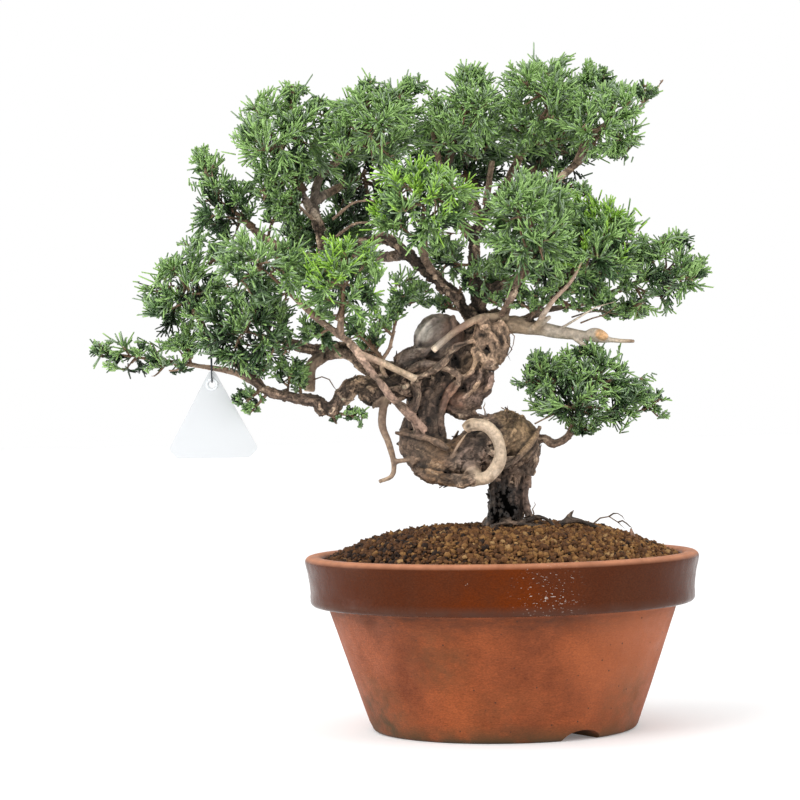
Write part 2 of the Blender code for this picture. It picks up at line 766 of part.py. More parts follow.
class Mass:
    """One mass of foliage: a stem, side twigs aimed evenly at its outer surface, and sprays on them."""

    def __init__(self, name, bough, obstacles, blade, seed):
        self.name = name
        self.blade = blade
        self.centre = np.array(MASSES[name][0], float)
        self.half = np.array(MASSES[name][1], float)
        self.seed = random.Random(seed)
        self.obstacles = obstacles
        self.bough = bough
        self.pieces = []

    def own(self, place):
        """Whether a place is in this mass's space and no nearer to another mass."""
        depth = mass_depth(self.name, place)
        if depth >= 1:
            return False
        return all(mass_depth(other, place) > depth + MASS_MARGIN for other in MASSES if other != self.name)

    def free(self, place, radius):
        away = np.linalg.norm(self.obstacles[:, :3] - place, axis=1)
        return bool(np.all(away > self.obstacles[:, 3] + radius + LIMB_MARGIN))

    def reach(self, start, way, longest, radius, skip):
        """How far a twig can run from its start before it leaves the space or meets a limb."""
        length = 0.0
        while length < longest:
            place = start + way * (length + REACH_STEP)
            if not self.own(place) or (length >= skip and not self.free(place, radius)):
                break
            length += REACH_STEP
        return length

    def keep(self, work):
        mesh = bpy.data.meshes.new(f"{self.name}_piece")
        work.to_mesh(mesh)
        work.free()
        self.pieces.append(mesh)

    def add_twig(self, start, end, first, last):
        work = bmesh.new()
        bmesh.ops.create_cone(
            work,
            cap_ends=True,
            segments=TWIG_SIDES,
            radius1=first * MM,
            radius2=last * MM,
            depth=math.dist(start, end) * MM,
            matrix=aimed(start, end),
        )
        self.keep(work)

    def add_spray(self, root, way):
        """The largest three-pronged blade that the space takes, with its root sunk in the twig."""
        turn = Matrix.Rotation(self.seed.uniform(0, math.pi), 4, "Z")
        root = root - way * TWIG_TIP_RADIUS
        stand = aimed(root, root + way * 0.001) @ turn
        for size in SPRAY_SIZES:
            length = SPRAY_LENGTH * size
            places = [
                tuple(stand @ Vector((x * side, 0, z)) / MM)
                for x, z in np.outer(BLADE_SHARES, SPRAY_OUTLINE[1:]).reshape(-1, 2) * length * MM
                for side in (1, -1)
            ]
            if all(self.own(place) and self.free(place, SPRAY_THICK / 2) for place in places):
                mesh = self.blade.copy()
                mesh.transform(stand @ Matrix.Diagonal((length * MM, SPRAY_THICK * MM, length * MM, 1)))
                self.pieces.append(mesh)
                return

    def targets(self):
        """Places spread evenly over the mass's outer surface."""
        count = MASSES[self.name][2]
        turn = self.seed.uniform(0, 2 * math.pi)
        for k in range(count):
            rise = 1 - 2 * (k + 0.5) / count
            spin = turn + math.radians(GOLDEN_ANGLE) * k
            level = math.sqrt(1 - rise**2)
            yield self.centre + self.half * (level * math.cos(spin), level * math.sin(spin), rise)

    def grow(self):
        line, radius = self.bough[:, :3], self.bough[-1, 3]
        tangent = unit(line[-1] - line[-2])
        foot = line[-1] + tangent * GAP
        turn = foot + tangent * STEM_FOOT
        run = unit(self.centre - turn)
        longest = STEM_LONGEST * math.dist(self.centre, turn)
        length = self.reach(turn, run, longest, TWIG_RADIUS, STEM_FOOT) * STEM_SHARE
        end = turn + run * length
        thick = max(TWIG_RADIUS, radius * STEM_THICK)
        self.add_twig(foot, turn + tangent * thick / 2, radius, thick)
        self.add_twig(turn - run * thick / 2, end, thick, TWIG_TIP_RADIUS)
        for k, target in enumerate(self.targets()):
            along = float(np.dot(target - turn, run)) / length - TWIG_LEAD
            root = turn + run * length * min(1 - STEM_ENDS, max(STEM_ENDS, along))
            way = unit(target - root)
            if float(np.dot(way, run)) > MOST_BACKWARD:
                self.side_twig(root, way, forked=k % FORKED_EVERY == 0)
        self.add_spray(end, run)

    def side_twig(self, root, way, forked):
        room = self.reach(root, way, LONGEST_TWIG, TWIG_RADIUS, TWIG_FOOT)
        if room < SHORTEST_TWIG:
            return
        length = max(room - SPRAY_LENGTH * SPRAY_OUT, room * TWIG_SHARE)
        end = root + way * length
        self.add_twig(root, end, TWIG_RADIUS, TWIG_TIP_RADIUS)
        self.add_spray(end, way)
        if forked:
            out = unit(np.cross(way, VIEW_WAY)) * self.seed.choice((-1, 1))
            tilt = math.radians(SPRAY_TILT)
            heading = unit(way * math.cos(tilt) + out * math.sin(tilt) + np.array((0, 0, UPWARD)))
            self.add_spray(root + way * length * FORK_PLACE, heading)

    def join(self, parts):
        """Fuse the stem, twigs and sprays into one closed body."""
        group = bpy.data.collections.new(self.name + "_twigs")
        bpy.context.scene.collection.children.link(group)
        for k, mesh in enumerate(self.pieces[1:]):
            new_object(f"{self.name}_piece_{k}", mesh, group)
        mass = new_object(self.name, self.pieces[0], parts)
        fuse = mass.modifiers.new("fuse", "BOOLEAN")
        fuse.operation = "UNION"
        fuse.operand_type = "COLLECTION"
        fuse.collection = group
        fuse.solver = "MANIFOLD"
        apply_modifiers(mass)
        for piece in list(group.objects):
            bpy.data.objects.remove(piece)
        bpy.data.collections.remove(group)
        edit(mass.data, clean)
        return mass


def is_closed(mesh):
    work = bmesh.new()
    work.from_mesh(mesh)
    closed = all(len(edge.link_faces) == 2 for edge in work.edges) and all(v.is_manifold for v in work.verts)
    work.free()
    return closed


def make_blade(parts):
    """A flat spray of unit length and thickness, standing on its root in the XZ plane."""
    right = list(SPRAY_OUTLINE)
    left = [(-x, z) for x, z in reversed(right) if x > 0]
    mesh = flat_piece("spray", [right + left], 1, parts)
    mesh.transform(Matrix.Rotation(math.pi / 2, 4, "X"))
    return mesh


def make_mass(name, bough, obstacles, blade, parts):
    """The mass from its first seed that fuses into one closed body."""
    for attempt in range(SEEDS_TRIED):
        mass = Mass(name, bough, obstacles, blade, f"{name} {attempt}")
        mass.grow()
        piece = mass.join(parts)
        if is_closed(piece.data):
            return piece
        bpy.data.objects.remove(piece)
    raise ValueError(f"{name} has no seed that closes")


def make_tag(parts):
    """Blank triangular label with cut corners and a round hole under its apex."""
    half = TAG_WIDTH / 2
    bottom = TAG_TOP - TAG_HEIGHT
    apex = TAG_APEX_WIDTH / 2
    right = [
        (apex / 2, TAG_TOP),
        (apex, TAG_TOP - apex / 2),
        (half, bottom + TAG_CHAMFER),
        (half - TAG_CHAMFER, bottom),
    ]
    outline = [*right, *[(-x, z) for x, z in reversed(right)]]
    turns = [2 * math.pi * k / TAG_HOLE_STEPS for k in range(TAG_HOLE_STEPS)]
    centre = TAG_TOP - TAG_HOLE_DROP
    hole = [(TAG_HOLE_RADIUS * math.cos(a), centre + TAG_HOLE_RADIUS * math.sin(a)) for a in turns]
    rings = [[(x * MM, z * MM) for x, z in ring] for ring in (outline, hole)]
    mesh = flat_piece("tag", rings, TAG_THICK * MM, parts)
    mesh.transform(Matrix.Translation((TAG_X * MM, TAG_Y * MM, 0)) @ Matrix.Rotation(math.pi / 2, 4, "X"))
    return new_object("tag", mesh, parts)


def tie_line(bough):
    """A closed loop of wire through the label's hole and over the sloping bough that carries it."""
    order = np.argsort(bough[:, 0])
    x, y, z, radius = bough[order].T
    slope = float(np.interp(TAG_X, x[1:], np.abs(np.diff(z) / np.diff(x))))
    y, z, radius = (float(np.interp(TAG_X, x, value)) for value in (y, z, radius))
    clear = GAP + TIE_RADIUS
    wide = (radius + clear) * TIE_SLACK
    tall = (radius * math.hypot(1, slope) + clear + TIE_RADIUS * slope) * TIE_SLACK
    low = TAG_THICK / 2 + clear
    bottom = TAG_TOP - TAG_HOLE_DROP + TAG_HOLE_RADIUS - clear
    turns = [math.pi * k / TIE_TURN for k in range(TIE_TURN + 1)]
    over = [(TAG_X, y + wide * math.cos(a), z + tall * math.sin(a), TIE_RADIUS) for a in turns]
    under = [(TAG_X, TAG_Y - low * math.cos(a), bottom + low * (1 - math.sin(a)), TIE_RADIUS) for a in turns]
    return over + under


def main():
    for old in list(bpy.data.objects):
        bpy.data.objects.remove(old)
    parts = bpy.data.collections.new("bonsai_juniper")
    cutters = bpy.data.collections.new("cutters")
    for group in (parts, cutters):
        bpy.context.scene.collection.children.link(group)
    clay = material("clay", (0.51, 0.13, 0.055), 0.75)
    earth = material("earth", (0.2, 0.075, 0.03), 0.95)
    bark = material("bark", (0.22, 0.14, 0.085), 0.85)
    deadwood = material("deadwood", (0.42, 0.33, 0.25), 0.7)
    foliage = material("foliage", (0.07, 0.2, 0.035), 0.6)
    card = material("card", (0.86, 0.88, 0.9), 0.35)
    wire = material("wire", (0.05, 0.055, 0.06), 0.4, 0.6)

    looks = {make_pot(parts, cutters): clay, make_soil(parts, cutters): earth}
    trunk = make_trunk(parts)
    made, lines = make_boughs(parts, trunk)
    for name, piece in made.items():
        dead = "jin" in name or "dead" in name or "stub" in name
        looks[piece] = deadwood if dead else bark
    looks[make_tag(parts)] = card
    tie = tie_line(lines["far_left_bough"])
    looks[tube("tag_tie", tie, 6, parts, cyclic=True)] = wire

    spread = TAG_WIDTH / TAG_HEIGHT / 2
    drops = range(0, TAG_HEIGHT, TAG_ROOM_STEP)
    tag_room = [(TAG_X, TAG_Y, TAG_TOP - drop, TAG_APEX_WIDTH / 2 + spread * drop) for drop in drops]
    limbs = [smooth_stations(line, OBSTACLE_STEP) for line in lines.values()]
    obstacles = np.vstack([*limbs, tie, tag_room])
    blade = make_blade(parts)
    carriers = {spec["carries"]: name for name, spec in BOUGHS.items() if "carries" in spec}
    for name in MASSES:
        looks[make_mass(name, lines[carriers[name]], obstacles, blade, parts)] = foliage
    for piece, look in looks.items():
        piece.data.materials.clear()
        piece.data.materials.append(look)
        piece.data.shade_smooth()
        piece.data.set_sharp_from_angle(angle=math.radians(35))


main()
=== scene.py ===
import math
import random

import bpy
import numpy as np
from mathutils import Matrix, Vector, kdtree, noise


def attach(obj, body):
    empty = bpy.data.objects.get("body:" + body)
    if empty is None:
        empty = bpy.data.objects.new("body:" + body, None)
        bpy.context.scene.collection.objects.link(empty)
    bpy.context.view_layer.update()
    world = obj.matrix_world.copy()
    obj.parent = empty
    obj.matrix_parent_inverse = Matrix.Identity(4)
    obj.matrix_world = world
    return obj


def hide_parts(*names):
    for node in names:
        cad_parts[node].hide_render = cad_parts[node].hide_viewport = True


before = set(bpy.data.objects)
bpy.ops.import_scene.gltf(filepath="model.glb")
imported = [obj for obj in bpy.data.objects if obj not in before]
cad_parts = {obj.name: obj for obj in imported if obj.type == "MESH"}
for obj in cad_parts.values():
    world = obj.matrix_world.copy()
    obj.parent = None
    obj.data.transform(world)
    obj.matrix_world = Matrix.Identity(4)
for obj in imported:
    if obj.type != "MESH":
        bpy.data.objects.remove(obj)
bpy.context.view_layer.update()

mm = 0.001  # places and sizes below are millimetres unless a note says otherwise
print("frame loaded")


# Small tools that every piece uses

def unit(ways):
    return ways / np.maximum(np.linalg.norm(ways, axis=-1, keepdims=True), 1e-9)


def smoothLine(stations, step):
    # a Catmull-Rom line with a point about every step
    points = [np.array(station, float) for station in stations]
    points = [2 * points[0] - points[1], *points, 2 * points[-1] - points[-2]]
    line = []
    for a, b, c, d in zip(points, points[1:], points[2:], points[3:]):
        count = max(1, round(float(np.linalg.norm(c[:3] - b[:3])) / step))
        square = 2 * a - 5 * b + 4 * c - d
        cube = 3 * b - a - 3 * c + d
        for k in range(count):
            t = k / count
            line.append(0.5 * (2 * b + (c - a) * t + square * t**2 + cube * t**3))
    line.append(points[-2])
    return np.array(line)


def runOf(line):
    # how far along the line each of its points is
    return np.concatenate([[0], np.cumsum(np.linalg.norm(np.diff(line[:, :3], axis=0), axis=1))])


def ringFrames(line):
    # the way at each point of a line, and two directions across it that don't spin
    ways = unit(np.gradient(line[:, :3], axis=0))
    across = np.zeros_like(ways)
    across[0] = unit(np.cross(ways[0], (0.31, 0.92, 0.24)))
    for k in range(1, len(line)):
        across[k] = unit(across[k - 1] - ways[k] * np.dot(across[k - 1], ways[k]))
    return ways, across, np.cross(ways, across)


def meshOf(name, verts, faces, kinds=None):
    # a mesh from arrays: corners in millimetres, faces that all have the same number of corners
    mesh = bpy.data.meshes.new(name)
    mesh.vertices.add(len(verts))
    mesh.vertices.foreach_set("co", np.asarray(verts * mm, np.float32).ravel())
    mesh.loops.add(faces.size)
    mesh.loops.foreach_set("vertex_index", np.asarray(faces, np.int32).ravel())
    mesh.polygons.add(len(faces))
    starts = np.arange(0, faces.size, faces.shape[1], dtype=np.int32)
    mesh.polygons.foreach_set("loop_start", starts)
    if kinds is not None:
        mesh.polygons.foreach_set("material_index", np.asarray(kinds, np.int32))
    mesh.update(calc_edges=True)
    mesh.validate()
    return mesh


def inScene(name, data):
    thing = bpy.data.objects.new(name, data)
    bpy.context.scene.collection.objects.link(thing)
    return thing


def addPiece(mesh, looks, replaced=(), smooth=True):
    piece = inScene(mesh.name, mesh)
    for look in looks:
        mesh.materials.append(look)
    if smooth:
        mesh.shade_smooth()
    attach(piece, "root")
    if replaced:
        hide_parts(*replaced)
    return piece


def applied(piece):
    # the mesh with its modifiers applied, and the object that carried them gone
    bpy.context.view_layer.update()
    graph = bpy.context.evaluated_depsgraph_get()
    mesh = bpy.data.meshes.new_from_object(piece.evaluated_get(graph))
    mesh.name = piece.name
    old = piece.data
    bpy.data.objects.remove(piece)
    bpy.data.meshes.remove(old)
    return mesh


def growTubes(points, radii, sides, seed):
    # many thin tubes at once: rings at all points but the last, which is the tip
    count, steps, _ = points.shape
    draw = np.random.default_rng(seed)
    ways = unit(np.gradient(points, axis=1))
    across = unit(np.cross(ways, unit(draw.normal(size=(count, 1, 3)))))
    beside = np.cross(ways, across)
    turns = 2 * np.pi * np.arange(sides) / sides
    ring = across[:, :-1, None] * np.cos(turns)[:, None] + beside[:, :-1, None] * np.sin(turns)[:, None]
    verts = points[:, :-1, None] + ring * radii[:, :, None, None]
    verts = np.concatenate([verts.reshape(count, -1, 3), points[:, -1:]], axis=1)
    faces = [(0, k + 1, k) for k in range(1, sides - 1)]
    for first in range(0, (steps - 2) * sides, sides):
        for k in range(sides):
            a, b = first + k, first + (k + 1) % sides
            faces += [(a, b, b + sides), (a, b + sides, a + sides)]
    last = (steps - 2) * sides
    faces += [(last + k, last + (k + 1) % sides, last + sides) for k in range(sides)]
    faces = np.array(faces)[None] + (np.arange(count) * verts.shape[1])[:, None, None]
    return verts.reshape(-1, 3), faces.reshape(-1, 3), faces.shape[1]


def joined(parts):
    # several (verts, faces) as one
    verts, faces, start = [], [], 0
    for partVerts, partFaces in parts:
        verts.append(partVerts)
        faces.append(partFaces + start)
        start += len(partVerts)
    return np.vstack(verts), np.vstack(faces)


def treeOf(places):
    tree = kdtree.KDTree(len(places))
    for k, place in enumerate(places):
        tree.insert(place[:3], k)
    tree.balance()
    return tree


def surfaceOf(mesh):
    # places in millimetres and normals of the mesh's vertices
    verts, normals = np.zeros(len(mesh.vertices) * 3), np.zeros(len(mesh.vertices) * 3)
    mesh.vertices.foreach_get("co", verts)
    mesh.vertex_normals.foreach_get("vector", normals)
    return verts.reshape(-1, 3) / mm, normals.reshape(-1, 3)


def towards(colour, tone, share):
    return colour + (tone - colour) * share[:, None]


def addNode(look, kind, inputs=None, **settings):
    node = look.node_tree.nodes.new("ShaderNode" + kind)
    for key, value in settings.items():
        setattr(node, key, value)
    for key, value in (inputs or {}).items():
        if isinstance(value, bpy.types.NodeSocket):
            look.node_tree.links.new(value, node.inputs[key])
        else:
            node.inputs[key].default_value = value
    return node


def newLook(name, **values):
    look = bpy.data.materials.new(name)
    look.use_nodes = True
    shader = look.node_tree.nodes["Principled BSDF"]
    for key, value in values.items():
        socket = shader.inputs[key.replace("_", " ")]
        socket.default_value = (*value, 1) if isinstance(value, tuple) else value
    return look, shader


def placeOf(look):
    return addNode(look, "TexCoord").outputs["Object"]


def noiseOf(look, scale, detail=3, stretch=None):
    place = placeOf(look)
    if stretch:
        place = addNode(look, "Mapping", {"Vector": place, "Scale": stretch}).outputs["Vector"]
    settings = {"Vector": place, "Scale": scale, "Detail": detail, "Roughness": 0.6}
    return addNode(look, "TexNoise", settings).outputs["Fac"]


def spread(look, value, low, high, toLow=0.0, toHigh=1.0):
    # the value between low and high, carried to toLow and toHigh
    settings = {"Value": value, "From Min": low, "From Max": high, "To Min": toLow, "To Max": toHigh}
    return addNode(look, "MapRange", settings).outputs["Result"]


def cloud(look, size, low, high, toLow=0.0, toHigh=1.0):
    # a noise of a size, detail and stretch, spread between two values
    return spread(look, noiseOf(look, *size), low, high, toLow, toHigh)


def math2(look, operation, a, b=0.0):
    return addNode(look, "Math", {0: a, 1: b}, operation=operation).outputs[0]


def times(look, a, b):
    return math2(look, "MULTIPLY", a, b)


def scaledBy(look, colour, amount):
    return addNode(look, "VectorMath", {0: colour, "Scale": amount}, operation="SCALE").outputs["Vector"]


def mixed(look, share, a, b):
    node = addNode(look, "Mix", data_type="RGBA")
    sockets = [s for s in node.inputs if s.enabled]
    for socket, value in zip(sockets, (share, a, b)):
        if isinstance(value, bpy.types.NodeSocket):
            look.node_tree.links.new(value, socket)
        else:
            socket.default_value = (*value, 1) if isinstance(value, tuple) else value
    return next(s for s in node.outputs if s.enabled)


def overlaid(look, colour, tone, *shares):
    # the tone over the colour, as far as all the shares let it
    share = shares[0]
    for other in shares[1:]:
        share = times(look, share, other)
    return mixed(look, share, colour, tone)


def heightOf(look):
    return addNode(look, "SeparateXYZ", {0: placeOf(look)}).outputs["Z"]


def patch(look, place, radius):
    # 1 at a place on the piece, fading to 0 at the radius
    away = addNode(look, "VectorMath", {0: placeOf(look), 1: Vector(place) * mm}, operation="DISTANCE")
    return spread(look, away.outputs["Value"], radius * mm, radius * mm * 0.3)


def setColour(look, shader, colour):
    look.node_tree.links.new(colour, shader.inputs["Base Color"])


def setRoughness(look, shader, value):
    look.node_tree.links.new(value, shader.inputs["Roughness"])


def setBump(look, shader, height, depth, strength=1.0):
    # depth in millimetres
    bump = addNode(look, "Bump", {"Height": height, "Distance": depth * mm, "Strength": strength})
    look.node_tree.links.new(bump.outputs["Normal"], shader.inputs["Normal"])


# Camera, light and floor

view = {
    "place": (-67.7, -1800, 226),
    "roll": -1.1,       # degrees
    "lens": 117.9,      # mm, on a sensor 36 mm wide
}
light = {
    "sky": 1.0,
    "lamps": {          # place, width and height, and watts
        "key": ((-900, -1300, 1500), (900, 900), 15),
        "fill": ((1300, -900, 900), (500, 1100), 5),
        "rim": ((-1300, 100, 500), (400, 1200), 6),
    },
    "target": (-30, 0, 230),
    "floor": 12000,     # from the middle to an edge
    "floorGlow": 0.14,  # keeps the floor white to its far edge
}


def makeCamera():
    lens = bpy.data.cameras.new("camera")
    lens.lens = view["lens"]
    lens.sensor_width = 36
    camera = inScene("camera", lens)
    level = Matrix.Rotation(math.pi / 2, 4, "X")
    roll = Matrix.Rotation(math.radians(view["roll"]), 4, "Z")
    camera.matrix_world = Matrix.Translation(Vector(view["place"]) * mm) @ level @ roll
    bpy.context.scene.camera = camera


def makeLight(name, place, size, power):
    lamp = bpy.data.lights.new(name, "AREA")
    lamp.shape = "RECTANGLE"
    lamp.size, lamp.size_y = size[0] * mm, size[1] * mm
    lamp.energy = power
    box = inScene(name, lamp)
    way = Vector(light["target"]) - Vector(place)
    turn = way.to_track_quat("-Z", "Y").to_matrix().to_4x4()
    box.matrix_world = Matrix.Translation(Vector(place) * mm) @ turn


def makeStudio():
    world = bpy.data.worlds.new("studio")
    bpy.context.scene.world = world
    world.use_nodes = True
    backdrop = world.node_tree.nodes["Background"]
    backdrop.inputs["Color"].default_value = (1, 1, 1, 1)
    backdrop.inputs["Strength"].default_value = light["sky"]
    for name, (place, size, power) in light["lamps"].items():
        makeLight(name, place, size, power)
    bpy.context.scene.view_settings.view_transform = "Standard"
    corners = np.array([(-1, -1, 0), (1, -1, 0), (1, 1, 0), (-1, 1, 0)], float) * light["floor"]
    mesh = meshOf("floor", corners, np.array([(0, 1, 2, 3)]))
    look, shader = newLook("floorWhite", Base_Color=(0.9, 0.9, 0.9), Roughness=0.8, Specular_IOR_Level=0.2)
    shader.inputs["Emission Color"].default_value = (1, 1, 1, 1)
    shader.inputs["Emission Strength"].default_value = light["floorGlow"]
    setRoughness(look, shader, cloud(look, (4,), 0.3, 0.7, 0.75, 0.85))
    mesh.materials.append(look)
    floor = inScene("floor", mesh)


makeCamera()
makeStudio()
print("camera and studio set")


# Pot: a turned body of matt clay and a glazed band round its lip

pot = {
    "height": 120,
    "rimRadius": 135,
    "rimFootRadius": 131.5,
    "rimHeight": 34,
    "rimRound": 4,
    "shoulderRadius": 119,
    "shoulderDrop": 4,
    "baseRadius": 92,
    "baseRound": 5,
    "wall": 9.5,
    "floor": 10,
    "drainAngle": -58,
    "drainWidth": 30,
    "drainRise": 7,
    "drainHole": (7, 35),    # radius and place
    "litPatch": ((100, -66, 66), 85),    # places and radii of patches on the clay and on the glaze, the first a pool of painted light
    "warm": ((-6, -134, 104), 62),
    "limed": (((24, -132, 103), 27), ((-20, -132, 98), 120)),
    "mossy": (((84, -58, 24), 36, 1.0), ((-84, -44, 10), 44, 1.0), ((-46, -98, 56), 28, 0.6),
              ((60, 70, 14), 46, 0.8), ((-20, 96, 10), 40, 0.7), ((-4, -96, 6), 40, 0.35)),
    "steps": 160,
    "wobble": 0.35,          # of the hand that threw it
    "clay": (0.315, 0.077, 0.021),
    "clayDark": (0.17, 0.042, 0.014),
    # painted sheen for the left and right sides
    "claySideSheen": (0.36, 0.13, 0.075),
    # painted light for the pool on the front right
    "clayPaintedLight": (0.44, 0.135, 0.055),
    # dark for grime, pits and scratches, and for painted shade under the rim
    "grimeAndShade": (0.075, 0.030, 0.016),
    "moss": (0.080, 0.044, 0.018),
    "glaze": (0.072, 0.015, 0.003),
    "glazeWarm": (0.115, 0.019, 0.0),
    "glazeFoot": (0.078, 0.032, 0.020),
    "lime": (0.62, 0.56, 0.5),
    "dust": (0.52, 0.225, 0.125),
}


def arc(centreR, centreZ, radius, start, end, count):
    angles = np.radians(np.linspace(start, end, count + 1))
    return [(centreR + radius * math.cos(a), centreZ + radius * math.sin(a)) for a in angles]


def profileLine(points, step):
    # more points along a profile's straight runs
    line = [points[0]]
    for a, b in zip(points, points[1:]):
        count = max(1, round(math.dist(a, b) / step))
        for k in range(1, count + 1):
            line.append((a[0] + (b[0] - a[0]) * k / count, a[1] + (b[1] - a[1]) * k / count))
    return line


def turned(name, profile, steps, wobble, closed):
    # the profile turned about the Z axis, with a slow unevenness
    profile = np.array(profile, float)
    rings = len(profile)
    turns = 2 * np.pi * np.arange(steps) / steps
    verts = np.zeros((steps, rings, 3))
    verts[..., 0] = profile[:, 0] * np.cos(turns)[:, None]
    verts[..., 1] = profile[:, 0] * np.sin(turns)[:, None]
    verts[..., 2] = profile[:, 1]
    flat = verts.reshape(-1, 3)
    for k, place in enumerate(flat):
        x, y, _ = place
        away = noise.noise(Vector(place) / 55) + 0.3 * noise.noise(Vector(place) / 9)
        flat[k] += np.array((x, y, 0)) / max(1, math.hypot(x, y)) * away * wobble
    last = rings if closed else rings - 1
    faces = []
    for s in range(steps):
        for k in range(last):
            a, b = s * rings + k, s * rings + (k + 1) % rings
            c, d = (s + 1) % steps * rings + (k + 1) % rings, (s + 1) % steps * rings + k
            faces.append((a, d, c, b))
    return meshOf(name, flat, np.array(faces))


def clayLook():
    look, shader = newLook("clay", Roughness=0.7, Specular_IOR_Level=0.2)
    height = heightOf(look)
    colour = mixed(look, cloud(look, (22, 5), 0.35, 0.68), pot["clay"], pot["clayDark"])
    across = addNode(look, "SeparateXYZ", {0: placeOf(look)}).outputs["X"]
    # painted sheen: the clay paler towards its left and right sides
    sides = spread(look, math2(look, "ABSOLUTE", across), 0.07, 0.115)
    colour = overlaid(look, colour, pot["claySideSheen"], sides, cloud(look, (30,), 0.3, 0.7, 0.2, 0.9))
    grain = times(look, cloud(look, (700, 4, (1, 1, 2.5)), 0.3, 0.7, 0.66, 1.34),
                  cloud(look, (150, 5, (1, 1, 7)), 0.3, 0.7, 0.88, 1.12))
    # painted shade under the overhanging rim band, in uneven patches
    underRim = spread(look, height, 0.068, 0.0835)
    shadePatches = cloud(look, (90, 6, (1, 1, 3)), 0.3, 0.7, 0.1, 0.8)
    colour = overlaid(look, scaledBy(look, colour, grain), pot["grimeAndShade"], underRim, shadePatches)
    atFoot = spread(look, height, 0.013, 0.001)
    colour = overlaid(look, colour, pot["moss"], atFoot, cloud(look, (60, 6), 0.25, 0.5))
    for place, radius, weight in pot["mossy"]:
        spots = cloud(look, (110, 8), 0.3, 0.66, 0.0, weight)
        colour = overlaid(look, colour, pot["moss"], patch(look, place, radius), spots)
    # a pool of painted light on the body's front right
    colour = overlaid(look, colour, pot["clayPaintedLight"], patch(look, *pot["litPatch"]), 0.5)
    pits = addNode(look, "TexVoronoi", {"Vector": placeOf(look), "Scale": 105.0})
    colour = mixed(look, spread(look, pits.outputs["Distance"], 0.085, 0.05), colour, pot["grimeAndShade"])
    scratches = cloud(look, (420, 2, (1, 1, 0.35)), 0.7, 0.76, 0.0, 0.55)
    colour = mixed(look, scratches, colour, pot["grimeAndShade"])
    setColour(look, shader, colour)
    setRoughness(look, shader, cloud(look, (45, 4), 0.3, 0.7, 0.5, 0.75))
    setBump(look, shader, noiseOf(look, 500, 6, (1, 1, 2)), 0.35, 0.8)
    return look


def glazeLook():
    look, shader = newLook("glaze", Roughness=0.2, Specular_IOR_Level=0.07)
    height = heightOf(look)
    colour = mixed(look, cloud(look, (26, 5), 0.3, 0.75, 0.0, 0.45), pot["glaze"], pot["grimeAndShade"])
    warm = cloud(look, (40, 3), 0.3, 0.62, 0.35, 1.0)
    colour = overlaid(look, colour, pot["glazeWarm"], patch(look, *pot["warm"]), warm)
    colour = scaledBy(look, colour, cloud(look, (700, 4, (1, 1, 2)), 0.3, 0.7, 0.72, 1.25))
    foot = cloud(look, (70, 5), 0.25, 0.55, 0.35, 1.0)
    colour = overlaid(look, colour, pot["glazeFoot"], spread(look, height, 0.0935, 0.0885), foot)
    lip = times(look, spread(look, height, 0.1165, 0.1192), cloud(look, (80, 5), 0.25, 0.6, 0.6, 1.0))
    colour = mixed(look, lip, colour, pot["dust"])
    many, few = pot["limed"]
    specks = cloud(look, (420, 5, (1, 1, 2.4)), 0.63, 0.67)
    colour = overlaid(look, colour, pot["lime"], patch(look, *many), specks)
    specks = cloud(look, (380, 2), 0.75, 0.79, 0.0, 0.8)
    colour = overlaid(look, colour, pot["lime"], patch(look, *few), specks)
    setColour(look, shader, colour)
    rough = cloud(look, (60, 5), 0.3, 0.7, 0.14, 0.34)
    setRoughness(look, shader, math2(look, "ADD", rough, times(look, lip, 0.4)))
    setBump(look, shader, noiseOf(look, 130, 4), 0.5, 0.5)
    return look


